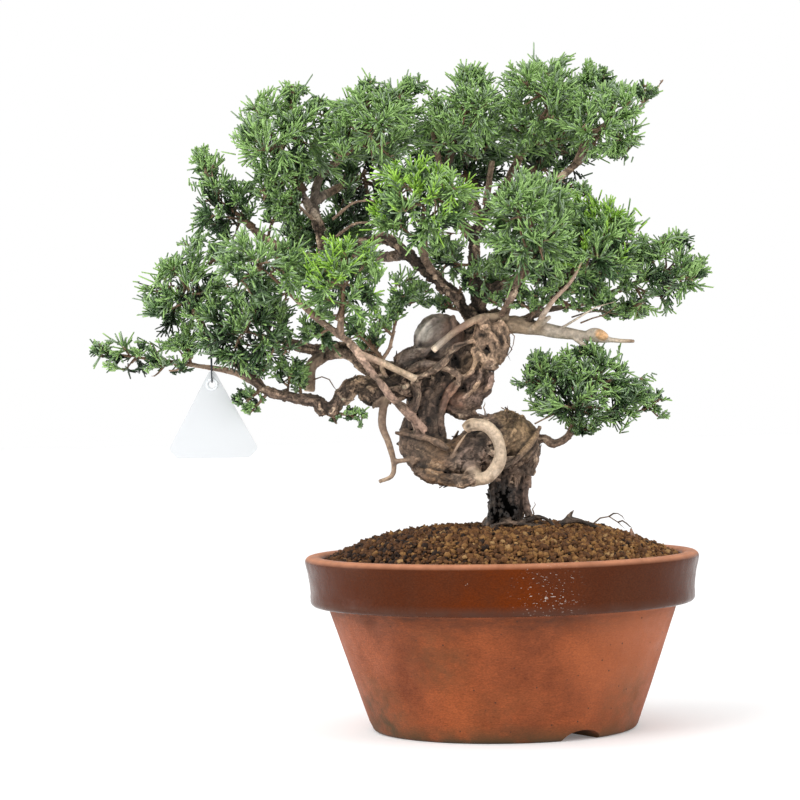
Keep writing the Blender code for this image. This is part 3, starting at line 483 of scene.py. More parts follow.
def makePot():
    rimFoot = pot["height"] - pot["rimHeight"]
    lip = pot["height"] - pot["rimRound"]
    wall, rounding = pot["wall"], pot["rimRound"]
    inside = [
        (pot["baseRadius"] - wall, pot["floor"]),
        (pot["shoulderRadius"] - wall, rimFoot - pot["shoulderDrop"]),
        (pot["rimFootRadius"] - wall, rimFoot + 8),
    ]
    body = [(0.01, pot["floor"]), *inside]
    body += [(pot["rimRadius"] - wall + 1, lip - 3), (pot["rimRadius"] - wall + 5, lip - 3)]
    body += [(pot["rimFootRadius"] - 5, rimFoot + 3), (pot["shoulderRadius"] + 5, rimFoot + 1)]
    body += arc(pot["shoulderRadius"] + 3.2, rimFoot - 3.4, 3.2, 90, 180, 5)
    body += arc(pot["baseRadius"] - pot["baseRound"], pot["baseRound"], pot["baseRound"], -15, -90, 8)
    body += [(0.01, 0)]
    mesh = turned("potBody", profileLine(body, 5), pot["steps"], pot["wobble"], True)
    piece = inScene("potBody", mesh)
    cutters = []
    for k in range(3):
        angle = math.radians(pot["drainAngle"] + 120 * k)
        outward = Vector((math.cos(angle), math.sin(angle), 0))
        holeRadius, holePlace = pot["drainHole"]
        length = pot["baseRadius"] + wall - holePlace
        spin = Matrix.Rotation(angle, 4, "Z") @ Matrix.Rotation(math.pi / 2, 4, "Y")
        width, rise = pot["drainWidth"] / 2 * mm, pot["drainRise"] * mm
        groove = spin @ Matrix.Diagonal((rise, width, length * mm, 1))
        hole = Matrix.Diagonal((holeRadius * mm, holeRadius * mm, 30 * mm, 1))
        shapes = ((outward * (holePlace + length / 2) * mm, groove), (outward * holePlace * mm, hole))
        for place, shape in shapes:
            bpy.ops.mesh.primitive_cylinder_add(vertices=48, radius=1, depth=1)
            cutter = bpy.context.object
            cutter.matrix_world = Matrix.Translation(place) @ shape
            cut = piece.modifiers.new("drain", "BOOLEAN")
            cut.object = cutter
            cut.operation = "DIFFERENCE"
            cutters.append(cutter)
    mesh = applied(piece)
    for cutter in cutters:
        bpy.data.objects.remove(cutter)
    body = addPiece(mesh, [clayLook()], ["pot"])
    mesh.set_sharp_from_angle(angle=math.radians(35))
    band = arc(pot["rimRadius"] - wall + 2, lip, rounding, 185, 90, 7)
    band += arc(pot["rimRadius"] - rounding, lip, rounding, 90, 0, 9)
    band += [(134.3, 112.5), (133.2, 108), (132.2, 101), (131.7, 95), (131.9, 92)]
    band += arc(pot["rimFootRadius"] - 3.2, rimFoot + 3.6, 3.6, 15, -90, 7)
    band += [(pot["shoulderRadius"] + 4, rimFoot - 0.3), (pot["shoulderRadius"] + 3, rimFoot + 3)]
    band += [(pot["rimRadius"] - wall - 2.4, lip - 8)]
    mesh = turned("rimBand", profileLine(band, 4), pot["steps"] * 2, pot["wobble"], True)
    addPiece(mesh, [glazeLook()])
    mesh.set_sharp_from_angle(angle=math.radians(60))


makePot()
print("pot made")


# Soil: a dark mound under loose granules of fired clay

soil = {
    "edge": 113,
    "peak": 138.4,
    "uneven": 2,
    "lump": 30,
    "heap": ((48, 8), 34, 3.5),   # a rise to the right of the trunk: place, radius and height
    "radius": 121.5,
    "grain": (2.4, 5.6),     # smallest and largest
    "gap": 3.15,             # between neighbours in a layer
    "row": 0.9,              # and between its rows, as a share of that
    "foot": (5, 10),         # place and radius of the clear ring round the trunk
    "layers": ((-0.9, 0.97), (-2.6, 0.8)),   # lift, and share of the places that are filled
    "jitter": (0.35, 0.6),   # how far a granule strays, in gaps along the layer and in millimetres up
    "bedDrop": (2.8, 0.8),   # how far the bed lies below the surface, and how rough it is
    "darkLeft": (-50, 16, 0.85, 0.3),    # where dark ones begin, how raggedly, their share, black ones'
    "darkFoot": (8, 24, 0.4),    # middle and radius of the dark ring round the trunk, and its share
    "colours": [(0.20, 0.088, 0.030), (0.33, 0.165, 0.054), (0.12, 0.052, 0.020), (0.03, 0.016, 0.010),
                (0.46, 0.27, 0.11)],
    "shares": [0.42, 0.27, 0.22, 0.05, 0.04],
    "bed": (0.03, 0.014, 0.008),
    "seed": 5,
}


def soilHeight(x, y):
    out = min(1.0, math.hypot(x, y) / (pot["rimRadius"] - pot["wall"]))
    dome = soil["edge"] + (soil["peak"] - soil["edge"]) * math.cos(out**1.6 * math.pi / 2) ** 0.8
    uneven = soil["uneven"] * (noise.noise(Vector((x, y, 0)) / soil["lump"]) - 0.4 * x / pot["rimRadius"])
    (heapX, heapY), heapRadius, heapRise = soil["heap"]
    heap = heapRise * math.exp(-((math.dist((x, y), (heapX, heapY)) / heapRadius) ** 2))
    return dome + (uneven + heap) * (1 - out**3)


def grainShape():
    # a rough ball of twenty faces
    golden = (1 + 5**0.5) / 2
    corners = []
    for a in (-1, 1):
        for b in (-golden, golden):
            corners += [(0, a, b), (a, b, 0), (b, 0, a)]
    corners = unit(np.array(corners, float))
    faces = []
    for i in range(12):
        for j in range(i + 1, 12):
            for k in range(j + 1, 12):
                a, b, c = corners[i], corners[j], corners[k]
                if max(math.dist(a, b), math.dist(b, c), math.dist(a, c)) < 1.1:
                    outward = np.dot(np.cross(b - a, c - a), a + b + c) > 0
                    faces.append((i, j, k) if outward else (i, k, j))
    return corners, np.array(faces)


def grainLook(name, colour):
    look, shader = newLook(name, Roughness=0.9, Specular_IOR_Level=0.3)
    darker = tuple(c * 0.55 for c in colour)
    setColour(look, shader, mixed(look, cloud(look, (650,), 0.35, 0.65), colour, darker))
    setBump(look, shader, noiseOf(look, 1500, 4), 0.3, 0.7)
    return look


def makeSoil():
    draw = np.random.default_rng(soil["seed"])
    rings = 26
    profile = [(soil["radius"] * k / rings + 0.01, soil["edge"]) for k in range(rings + 1)]
    profile += [(soil["radius"] - 2, soil["edge"] - 6), (0.01, soil["edge"] - 6)]
    mesh = turned("soilBed", profile, 72, 0, True)
    drop, rough = soil["bedDrop"]
    for vert in mesh.vertices:
        if vert.co.z > (soil["edge"] - 1) * mm:
            x, y = vert.co.x / mm, vert.co.y / mm
            vert.co.z = (soilHeight(x, y) - drop + rough * noise.noise(Vector((x, y, 3)) / 4)) * mm
    addPiece(mesh, [grainLook("soilShade", soil["bed"])], ["soil"])
    corners, faces = grainShape()
    places = []
    aside, up = soil["jitter"]
    for lift, share in soil["layers"]:
        count = int(2 * soil["radius"] / soil["gap"])
        for i in range(count):
            for j in range(int(count / soil["row"])):
                x = (i + 0.5 * (j % 2) + draw.uniform(-aside, aside)) * soil["gap"] - soil["radius"]
                y = (j * soil["row"] + draw.uniform(-aside, aside)) * soil["gap"] - soil["radius"]
                if math.hypot(x, y) < soil["radius"] - 1.5 and draw.random() < share:
                    places.append((x, y, soilHeight(x, y) + lift + draw.uniform(-up, up)))
    places = np.array(places)
    footX, footRadius = soil["foot"]
    places = places[np.hypot(places[:, 0] - footX, places[:, 1]) > footRadius]
    count = len(places)
    low, high = soil["grain"]
    size = low + (high - low) * draw.random(count) ** 2.2
    shape = corners[None] * (1 + 0.28 * draw.normal(size=(count, 12, 1))).clip(0.55, 1.4)
    shape = shape * draw.uniform(0.65, 1.15, size=(count, 1, 3)) * (size / 2)[:, None, None]
    spins = unit(draw.normal(size=(count, 4)))
    w, x, y, z = spins.T
    turn = np.stack([
        1 - 2 * (y * y + z * z), 2 * (x * y - z * w), 2 * (x * z + y * w),
        2 * (x * y + z * w), 1 - 2 * (x * x + z * z), 2 * (y * z - x * w),
        2 * (x * z - y * w), 2 * (y * z + x * w), 1 - 2 * (x * x + y * y),
    ], axis=1).reshape(count, 3, 3)
    verts = np.einsum("nij,nkj->nki", turn, shape) + places[:, None]
    every = faces[None] + (np.arange(count) * 12)[:, None, None]
    shares = np.array(soil["shares"])
    kinds = draw.choice(len(shares), size=count, p=shares)
    edge, ragged, share, black = soil["darkLeft"]
    leftDark = (places[:, 0] < edge + draw.normal(size=count) * ragged) & (draw.random(count) < share)
    kinds[leftDark] = np.where(draw.random(count) < black, 3, 2)[leftDark]
    middle, radius, share = soil["darkFoot"]
    nearFoot = (np.hypot(places[:, 0] - middle, places[:, 1]) < radius) & (draw.random(count) < share)
    kinds[nearFoot] = 3
    looks = [grainLook(f"granule{k}", colour) for k, colour in enumerate(soil["colours"])]
    mesh = meshOf("soilGranules", verts.reshape(-1, 3), every.reshape(-1, 3), np.repeat(kinds, 20))
    addPiece(mesh, looks, smooth=False)
    print("soil granules", count, "triangles", count * 20)


makeSoil()


# Limbs: what grows from what, in the same sizes as the solids

trunkLine = (
    (4, 0, 128, 15.5),
    (5, 0, 156, 13.7),
    (8, 2, 173, 15),
    (11, 1, 190, 17.5),
    (5, -3, 200, 17),
    (-8, -12, 197, 16),
    (-24, -18, 186, 15.5),
    (-40, -18, 183, 16.5),
    (-53, -14, 194, 15.5),
    (-53, -8, 209, 14),
    (-49, -2, 223, 14),
    (-42, 2, 236, 16),
    (-29, 4, 247, 19),
    (-15, 4, 261, 17),
    (-6, 4, 274, 13),
)

swellings = {
    "knee": ((14, 0, 197), (14, 15, 15)),
    "root_right": ((13, -5, 138), (11, 6, 8)),
    "root_front": ((2, -12, 138), (7, 11, 7)),
    "root_back": ((-4, 12, 138), (9, 9, 8)),
    "grey_bulge": ((-39, -6, 270), (17, 13, 15)),
    "shoulder": ((-57, -6, 250), (12, 10, 8)),
    "burr": ((-1, -8, 264), (13, 12, 18)),
    "low_burr": ((-15, -2, 237), (12, 12, 12)),
    "window_lump": ((-24, -4, 225), (14, 10, 9)),
    "fork": ((-3, 2, 278), (13, 12, 10)),
}

# each mass: its centre, half widths, number of side twigs, and how light its greens are, with painted
# light: upper masses lighter, back ones darker
masses = {
    "finger_mass": ((-249, -4, 259), (30, 16, 14), 5, 0.1),
    "far_left_mass": ((-213, -14, 301), (34, 30, 32), 6, 0.3),
    "low_left_mass": ((-170, -24, 274), (40, 38, 38), 6, 0.2),
    "front_left_mass": ((-156, -60, 314), (34, 34, 29), 6, 0.6),
    "centre_left_mass": ((-103, -72, 304), (35, 34, 34), 6, 0.8),
    "left_shoot_mass": ((-188, 8, 365), (26, 24, 35), 5, 0.3),
    "upper_left_mass": ((-148, -4, 403), (38, 33, 40), 6, 1.3),
    "top_left_mass": ((-83, -16, 411), (38, 38, 31), 6, 1.7),
    "top_centre_mass": ((-21, -6, 418), (29, 38, 37), 6, 2.1),
    "apex_mass": ((37, 4, 425), (40, 40, 42), 7, 2.1),
    "right_top_mass": ((76, -17, 413), (33, 32, 31), 6, 1.9),
    "centre_mass": ((-50, -62, 353), (40, 36, 34), 6, 0.76),
    "middle_mass": ((22, -58, 338), (38, 36, 40), 6, 1.25),
    "right_pad_mass": ((67, -30, 328), (36, 40, 36), 7, 0.8),
    "far_right_mass": ((112, -4, 309), (32, 30, 31), 6, 0.5),
    "low_right_mass": ((61, -12, 230), (50, 41, 32), 7, 0.4),
    "centre_tuft": ((-65, -10, 300), (15, 15, 25), 4, 0.4),
    "back_left_mass": ((-120, 78, 332), (42, 38, 38), 5, -0.3),
    "back_upper_left_mass": ((-92, 64, 386), (42, 38, 42), 5, -0.3),
    "back_top_mass": ((-20, 74, 400), (42, 38, 40), 5, -0.3),
    "back_right_top_mass": ((44, 68, 401), (36, 38, 37), 5, -0.3),
    "back_right_mass": ((52, 72, 329), (41, 38, 36), 5, -0.3),
}

boughs = {
    "apex_bough": {"root": ("trunk", 0.97), "carries": "apex_mass", "thick": (10.5, 3.6),
        "via": [(-13, 8, 297), (-15, 14, 316), (-14, 20, 336), (-4, 24, 357), (9, 23, 376)]},
    "left_upright_bough": {"root": (-109, 19, 316), "carries": "upper_left_mass", "thick": (6.5, 4.4),
        "via": [(-119, 15, 336), (-123, 10, 351)]},
    "left_arch_bough": {"root": ("trunk", 0.98), "tip": (-113, 17, 328), "thick": (6.6, 5.4),
        "via": [(-29, -4, 297), (-46, -8, 312), (-61, -6, 326), (-75, 2, 337), (-92, 12, 335)]},
    "left_fork_bough": {"root": ("left_upright_bough", 0.5), "carries": "top_left_mass",
        "thick": (5.2, 3.2), "via": [(-125, 14, 366), (-120, 14, 381)]},
    "outer_left_bough": {"root": ("left_upright_bough", 0.12), "carries": "left_shoot_mass",
        "thick": (4.2, 3), "via": [(-135, 16, 327), (-153, 13, 335)]},
    "right_top_bough": {"root": ("apex_bough", 0.74), "tip": (117, -8, 442), "thick": (5.2, 0.9),
        "via": [(25, 14, 365), (46, 6, 377), (59, 2, 388), (73, -2, 406), (88, -4, 416), (103, -6, 426)]},
    "top_bough": {"root": ("apex_bough", 0.5), "carries": "top_centre_mass", "thick": (5, 3.4),
        "via": [(-29, 26, 361), (-35, 19, 380)]},
    "centre_spur": {"root": ("left_arch_bough", 0.36), "carries": "centre_mass", "thick": (3.6, 2.6),
        "via": [(-49, -20, 322)]},
    "right_top_spur": {"root": ("right_top_bough", 0.45), "carries": "right_top_mass", "enters": 0.62,
        "thick": (2.8, 2.2), "via": [(60, -13, 396)]},
    "low_left_bough": {"root": ("trunk", 0.8), "tip": (-115, -22, 217), "thick": (11.5, 4.6),
        "knob": ((-84, -15, 232), (13, 11, 11)), "via": [(-73, -12, 234), (-87, -16, 233),
        (-98, -18, 237), (-107, -20, 229)]},
    "far_left_bough": {"root": (-118, -22, 217.5), "carries": "far_left_mass", "enters": 0.7,
        "thick": (4.8, 2.6), "via": [(-124, -20, 226), (-140, -20, 229), (-157, -18, 233),
        (-177, -14, 252), (-195, -12, 266)]},
    "finger_twig": {"root": ("far_left_bough", 0.42), "carries": "finger_mass", "thick": (2.7, 1.6),
        "via": [(-178, -6, 246), (-199, -1, 251)]},
    "sloping_bough": {"root": ("trunk", 0.6), "carries": "front_left_mass", "thick": (4.4, 2.6),
        "via": [(-58, -36, 212), (-71, -46, 225), (-87, -52, 246), (-100, -54, 264), (-120, -52, 280)]},
    "sloping_stub": {"root": ("sloping_bough", 0.62), "tip": (-57, -36, 240), "thick": (3.3, 3.5),
        "via": [(-81, -47, 252)]},
    "centre_left_spur": {"root": ("sloping_bough", 0.74), "carries": "centre_left_mass",
        "enters": 0.72, "thick": (2.8, 2.1), "via": []},
    "rear_left_bough": {"root": ("trunk", 0.84), "carries": "low_left_mass", "enters": 0.75,
        "thick": (7.6, 3.4), "via": [(-73, 14, 246), (-91, 14, 256), (-108, 10, 263), (-125, 4, 262)]},
    "rear_left_stub": {"root": ("rear_left_bough", 0.7), "tip": (-130, 2, 233), "thick": (5.5, 4.8),
        "via": [(-129, 3, 249)]},
    "hanging_jin": {"root": ("low_left_bough", 0.42), "tip": (-83, -28, 171), "thick": (4.8, 2.2),
        "via": [(-79, -20, 221), (-80, -22, 209), (-76, -22, 197), (-73, -22, 185), (-74, -24, 175)]},
    "curl_jin": {"root": ("trunk", 0.46), "tip": (-21, -35, 208), "thick": (5.8, 4.5), "curled": True,
        "via": [(-15, -42, 172), (-5, -44, 178), (-1, -44, 189), (-4, -43, 201), (-12, -41, 208)]},
    "cross_jin": {"root": (6, -6, 282), "tip": (-45, -27, 259), "thick": (3.6, 3.1),
        "via": [(-14, -22, 280), (-29, -26, 272)]},
    "right_dead_bough": {"root": ("trunk", 0.99), "tip": (93, -14, 263), "thick": (7, 1.9),
        "via": [(12, -4, 276), (38, -8, 271), (61, -12, 267), (78, -14, 264)]},
    "right_bough": {"root": ("right_dead_bough", 0.2), "carries": "far_right_mass",
        "thick": (4.2, 2.5), "via": [(34, 10, 286), (59, 10, 290)]},
    "right_pad_spur": {"root": ("right_dead_bough", 0.27), "carries": "right_pad_mass",
        "thick": (3.5, 2.6), "via": [(35, -15, 294)]},
    "middle_spur": {"root": ("right_dead_bough", 0.1), "carries": "middle_mass", "thick": (3.6, 2.6),
        "via": [(9, -14, 293)]},
    "low_right_twig": {"root": ("trunk", 0.25), "carries": "low_right_mass", "enters": 0.8,
        "thick": (3.6, 2.6), "via": [(30, -1, 198), (38, -2, 194), (47, -4, 199)]},
    "tuft_twig": {"root": ("low_left_bough", 0.4), "carries": "centre_tuft", "thick": (1.7, 1.3),
        "via": [(-80, -12, 250), (-74, -12, 262)]},
    "back_left_bough": {"root": ("left_arch_bough", 0.55), "carries": "back_left_mass", "enters": 0.7,
        "thick": (4.4, 3), "via": [(-72, 22, 326)]},
    "back_upper_left_bough": {"root": ("left_fork_bough", 0.35), "carries": "back_upper_left_mass",
        "enters": 0.7, "thick": (3.8, 2.8), "via": []},
    "back_top_bough": {"root": ("apex_bough", 0.62), "carries": "back_top_mass", "enters": 0.8,
        "thick": (4.4, 3), "via": [(-13, 38, 362)]},
    "back_right_top_bough": {"root": ("apex_bough", 0.82), "carries": "back_right_top_mass",
        "enters": 0.8, "thick": (3.8, 2.8), "via": [(20, 34, 374)]},
    "back_right_bough": {"root": ("apex_bough", 0.22), "carries": "back_right_mass", "enters": 0.8,
        "thick": (4.6, 3), "via": [(8, 22, 306)]},
}
growth = {
    "trunkStep": 4,
    "boughStep": 13,
    "curledStep": 6,
    "entry": 0.92,           # depth at which a bough gives way to its mass's stem
    "gap": 0.3,
}


def shareOf(line, share):
    along = runOf(line)
    return np.array([np.interp(share * along[-1], along, line[:, k]) for k in range(3)])


def depthsAt(places):
    # for each place, its depth in every mass: 0 at the centre and 1 at the outer surface
    away = (np.atleast_2d(places)[:, None] - massCentres) / massHalves
    return np.linalg.norm(away, axis=2)


def boughLine(spec):
    root = spec["root"]
    if isinstance(root[0], str):
        root = shareOf(lines[root[0]], root[1])
    stops = [np.array(stop, float) for stop in (root, *spec["via"])]
    if "tip" in spec:
        stops.append(np.array(spec["tip"], float))
    else:
        k = massNames.index(spec["carries"])
        outside = float(depthsAt(stops[-1])[0, k])
        depth = spec.get("enters", growth["entry"])
        share = 0.3 if outside <= depth else 1 - depth / outside
        stops.append(stops[-1] + (massCentres[k] - stops[-1]) * share)
    first, last = spec["thick"]
    legs = np.concatenate([[0], np.cumsum([math.dist(a, b) for a, b in zip(stops, stops[1:])])])
    stations = [(*stop, first + (last - first) * leg / legs[-1]) for stop, leg in zip(stops, legs)]
    return smoothLine(stations, growth["curledStep"] if spec.get("curled") else growth["boughStep"])


massNames = list(masses)
massCentres = np.array([masses[name][0] for name in massNames], float)
massHalves = np.array([masses[name][1] for name in massNames], float)
lines = {"trunk": smoothLine(trunkLine, growth["trunkStep"])}
for name, spec in boughs.items():
    lines[name] = boughLine(spec)
deadNames = [name for name in boughs if "jin" in name or "dead" in name or "stub" in name]
print("limbs laid out", len(lines))


# Wood: one surface over trunk, boughs and dead stubs, with the bark's relief worked into it

wood = {
    "voxel": 0.85,
    "ringStep": 1.6,
    "collar": 0.2,           # how much a bough widens where it leaves its parent
    "collarLength": 9,
    "lump": (11, 1.5),       # size and height of the lumps
    "ridge": (3.4, 22, 0.75),  # across, along, height
    "plate": (2.6, 4.6, 0.7),
    "bigPlate": (2.4, 2.1),  # how many times a plate's size the large ones are
    "cracks": (0.06, 0.7, 0.07),     # width of the small cracks and their depth, width of the large ones
    "fine": (1.8, 0.3),
    "scales": ((5.5, 0.10), (2.2, 0.12)),    # painted flakes: size and crack width
    "deadRelief": 0.45,      # share of the relief that dead wood keeps
    "thinRadius": 6,         # below which a bough's relief shrinks with its radius
    "creaseReach": 12,       # how wide the folds with painted shade are, in steps
    "creaseDepth": 0.65,     # how deep a fold is for full painted shade
    "low": 129,              # where the wood ends under the soil
    "warp": (9, 0.55),       # how the plates are pulled out of line: size, share
    "flakes": 520,           # lifted scraps of bark
    "flakeSize": (1.6, 6.5),
    "smallFlakes": 900,
    "smallFlakeSize": (0.9, 2.8),
    "flakesAbove": 142,
    "trunkTop": 290,         # knobs below this and right of the next count as trunk
    "trunkLeft": -75,
    "strayGap": 1.2,         # how far off its limb a place is on a knob
    "shift": 97,             # between the bark of one limb and the next
    "footTrim": {"top": 186, "over": 14, "thinner": 1.2, "leftwards": 0.9},
    "deadTip": {"from": 71, "over": 6, "thinner": 0.35},
    # share of its solid's radius that a limb keeps here
    "thinner": {"sloping_stub": 0.72, "hanging_jin": 0.68, "curl_jin": 0.86, "cross_jin": 0.78,
                "right_bough": 0.7, "right_pad_spur": 0.66, "middle_spur": 0.66, "sloping_bough": 0.8,
                "rear_left_stub": 0.8, "right_top_bough": 0.8, "top_bough": 0.8, "left_upright_bough": 0.64,
                "apex_bough": 0.66, "left_arch_bough": 0.8, "left_fork_bough": 0.8},
    "burrLumps": [((-9, -19, 275), 5.5), ((-2, -17, 272), 5), ((-12, -19, 263), 5), ((-1, -17, 259), 5.5),
                  ((-5, -20, 252), 5), ((0, -12, 265), 5), ((-6, -21, 266), 4.5), ((1, -10, 274), 4.5),
                  ((-12, -16, 254), 4)],
    "reshaped": {(-1, -8, 264): ((-5, -9, 263), (11.5, 13.5, 16)),
                 (-39, -6, 270): ((-40, -7, 266), (18, 14, 19))},
    "seed": 21,
}
# small wood that only shows here: a line of places with radii, and the node that it goes with
smallWood = {
    "bridge": ([(-33, -4, 224, 4), (-26, -8, 219, 2.8), (-14, -9, 213, 2.3), (-2, -9, 210, 2.6),
        (6, -8, 209, 3)], "trunk"),
    "windowTop": ([(-40, -6, 222, 4), (-28, -8, 216, 3.8), (-17, -8, 214, 3.4)], "trunk"),
    "rootStick": ([(38, -18, 138, 1.2), (47, -18, 142, 2.1), (57, -18, 140, 2.1), (67, -19, 136, 1.9),
        (77, -21, 130, 1.6), (85, -23, 124, 1.1)], "trunk"),
    "rootFlap": ([(40, -18, 139, 1.8), (45, -18, 144, 1.5), (49, -18, 149, 0.7)], "trunk"),
    "soilStub": ([(89, -14, 122, 3), (89, -14, 129, 2.4), (88, -14, 136, 0.8)], "trunk"),
    "crossing": ([(-58, -25, 241, 2.2), (-47, -27, 244, 2.4), (-36, -26, 253, 2.6),
        (-30, -25, 261, 2.6), (-17, -22, 266, 2)], "trunk"),
    "greyRidge": ([(-70, -6, 251, 5), (-60, -12, 257, 5.5), (-50, -17, 258, 4.5),
        (-42, -20, 262, 2.5)], "trunk"),
    "ridgeLow": ([(-64, -14, 243, 3.5), (-52, -20, 250, 3), (-38, -21, 248, 2.6),
        (-26, -19, 241, 2.2)], "trunk"),
    "veinLeft": ([(-62, -20, 200, 2.6), (-60, -22, 214, 2.8), (-56, -20, 228, 3), (-58, -16, 240, 3)],
        "trunk"),
    "veinRight": ([(-38, -20, 200, 2), (-40, -16, 214, 2.4), (-36, -14, 228, 3), (-28, -15, 238, 3)],
        "trunk"),
    "kneeFold": ([(-8, -31, 190, 2.4), (4, -23, 184, 2.6), (16, -16, 186, 2.4), (26, -8, 194, 2.2)],
        "trunk"),
    "footRib": ([(20, -6, 190, 3), (18, -9, 172, 2.6), (17, -9, 156, 2.6), (20, -9, 140, 3)],
        "trunk"),
    "footRibLeft": ([(-4, -16, 180, 2.4), (-6, -12, 164, 2.4), (-6, -12, 150, 2.6),
        (-9, -11, 138, 3)], "trunk"),
    "sliverOne": ([(-33, -33, 188, 0.9), (-29, -35, 195, 1.1), (-23, -34, 203, 0.6)], "curl_jin"),
    "sliverTwo": ([(-26, -34, 175, 0.8), (-22, -37, 179, 0.7), (-17, -38, 181, 0.4)], "curl_jin"),
    "stubLeft": ([(-58, -20, 200, 2.6), (-66, -22, 203, 2), (-72, -22, 204, 0.9)], "trunk"),
    "hangStub": ([(-73, -22, 184, 2), (-66, -24, 185, 1.7), (-57, -25, 185.5, 1.5)], "hanging_jin"),
    "burrRight": ([(1, -16, 279, 2.4), (5, -17, 270, 3), (5, -18, 259, 3.2), (-1, -17, 249, 2.6)],
        "trunk"),
    "burrLeft": ([(-13, -17, 277, 2.2), (-15, -19, 266, 3), (-12, -22, 256, 3), (-7, -21, 247, 2.4)],
        "trunk"),
    "burrMiddle": ([(-6, -20, 278, 2), (-7, -22, 268, 2.8), (-4, -22, 258, 2.8), (-6, -22, 249, 2.2)],
        "trunk"),
    "burrUnder": ([(-13, -19, 251, 2.2), (-6, -22, 246, 2.4), (-1, -19, 248, 2)], "trunk"),
    "slopingEnd": ([(-71, -45, 226, 2.9), (-64, -41, 219, 2.8), (-57, -37, 212, 2.7),
        (-51, -33, 205, 2.4)], "sloping_bough"),
    "bulgeFoldOne": ([(-56, -10, 254, 2), (-55, -13.5, 264, 2.4), (-50, -15.5, 274, 2.2),
        (-42, -14.5, 282, 1.8)], "trunk"),
    "bulgeFoldTwo": ([(-32, -18, 266, 1.8), (-29, -17, 274, 2.4), (-31, -13, 283, 2)], "trunk"),
    "turnFold": ([(-66, -22, 205, 2.2), (-58, -30, 202, 2.6), (-46, -35, 198, 2.6),
        (-36, -36, 192, 2)], "trunk"),
    "kneeFoldTwo": ([(2, -28, 178, 1.8), (12, -22, 186, 2.4), (22, -14, 196, 2.6), (28, -6, 206, 2)],
        "trunk"),
    "gnarlOne": ([(-18, -22, 261, 2), (-16, -22, 253, 2.6), (-19, -20, 245, 2.4),
        (-25, -17, 239, 1.6)], "trunk"),
    "gnarlTwo": ([(-30, -20, 249, 1.8), (-27, -21, 241, 2), (-30, -19, 233, 1.8),
        (-34, -16, 228, 1.4)], "trunk"),
    "gnarlThree": ([(-12, -20, 246, 1.6), (-14, -21, 238, 2), (-19, -19, 231, 2),
        (-25, -17, 226, 1.6)], "trunk"),
    "gnarlFour": ([(-5, -17, 244, 1.8), (-6, -18, 236, 2), (-11, -16, 229, 1.8)], "trunk"),
    "curlFoot": ([(-58, -30, 178, 3.5), (-42, -36, 173, 4.6), (-28, -40, 171, 4.8),
        (-15, -42, 172, 4.6)], "trunk"),
    "burrFold": ([(-12, -21, 274, 2), (-5, -24, 269, 2.2), (0, -22, 262, 2), (-2, -21, 254, 2)],
        "trunk"),
    "rootLoop": ([(8, -16, 139, 2.4), (18, -22, 143, 2.2), (26, -26, 145, 2), (33, -26, 141, 1.8),
        (38, -28, 134, 1.4)], "trunk"),
    "rootLow": ([(-8, -18, 138, 2.2), (4, -24, 141, 2), (16, -26, 140, 1.6), (28, -30, 138, 1.4),
        (36, -38, 132, 1)], "trunk"),
    "curlCap": ([(-17, -38, 208.6, 4.5), (-21, -36, 208, 4.4), (-24, -34.5, 205.5, 3.8)], "curl_jin"),
    "deadKnuckle": ([(59, -13, 267.5, 2.6), (65, -14, 269, 3.8), (70, -15, 268, 3.4),
        (74, -15, 265.5, 2.4)], "right_dead_bough"),
    "archTop": ([(-118, 2, 257, 3.2), (-110, 0, 259, 3.8), (-100, -2, 256, 4), (-91, -4, 249, 4.5),
        (-84, -6, 243, 5)], "low_left_bough"),
    "deadSpur": ([(50, -11, 268, 2.2), (57, -16, 262, 1.7), (61, -17, 259, 1)], "right_dead_bough"),
    "deadRise": ([(24, -10, 273, 3), (30, -14, 277, 2.4), (36, -16, 281, 1.4)], "right_dead_bough"),
    "leaderStub": ([(-6, 22, 360, 2.6), (-3, 14, 376, 2.4), (-1, 8, 390, 2.2)], "apex_bough"),
    "upperLimb": ([(-34, 20, 376, 2.6), (-38, 8, 392, 2.4), (-42, 0, 412, 1.8)], "top_bough"),
    "twigPaleOne": ([(26, -12, 274, 2.2), (36, -32, 290, 1.8), (49, -42, 304, 1.4),
        (57, -48, 320, 1)], "right_dead_bough"),
    "twigPaleTwo": ([(40, -10, 271, 1.2), (52, -20, 278, 1.0), (66, -22, 286, 0.8),
        (80, -20, 290, 0.5)], "right_dead_bough"),
    "twigPaleThree": ([(2, -10, 282, 2.4), (8, -28, 292, 2.2), (15, -40, 306, 1.8),
        (22, -50, 328, 1.2)], "trunk"),
    "leftTwigOne": ([(-122, 12, 358, 1.6), (-134, 2, 372, 1.2), (-150, -6, 388, 0.9),
        (-158, -8, 402, 0.6)], "left_upright_bough"),
    "leftTwigTwo": ([(-118, 14, 344, 1.5), (-130, 2, 356, 1.2), (-144, -8, 370, 0.8)],
        "left_upright_bough"),
    "deadTwigOne": ([(-112, 14, 352, 1.3), (-96, -4, 362, 1.0), (-78, -14, 362, 0.6)],
        "left_upright_bough"),
    "deadTwigTwo": ([(-110, 16, 340, 1.3), (-94, -2, 348, 1.0), (-72, -14, 344, 0.6)],
        "left_upright_bough"),
}
# hollows pressed into the surface and given painted shade: place, radius and depth
hollows = {
    "cavity": ((-28, -18, 250), 7, 4),
    "cavityLeft": ((-44, -20, 256), 5, 3),
    "underBulge": ((-33, -18, 268), 5, 3),
    "curlHole": ((-21.5, -38, 208), 3.2, 2.6),
    "kneeDent": ((-4, -26, 200), 6, 2.2),
    "footDent": ((4, -16, 170), 5, 2.4),
    "upwardDent": ((-47, -22, 212), 4.5, 2),
}
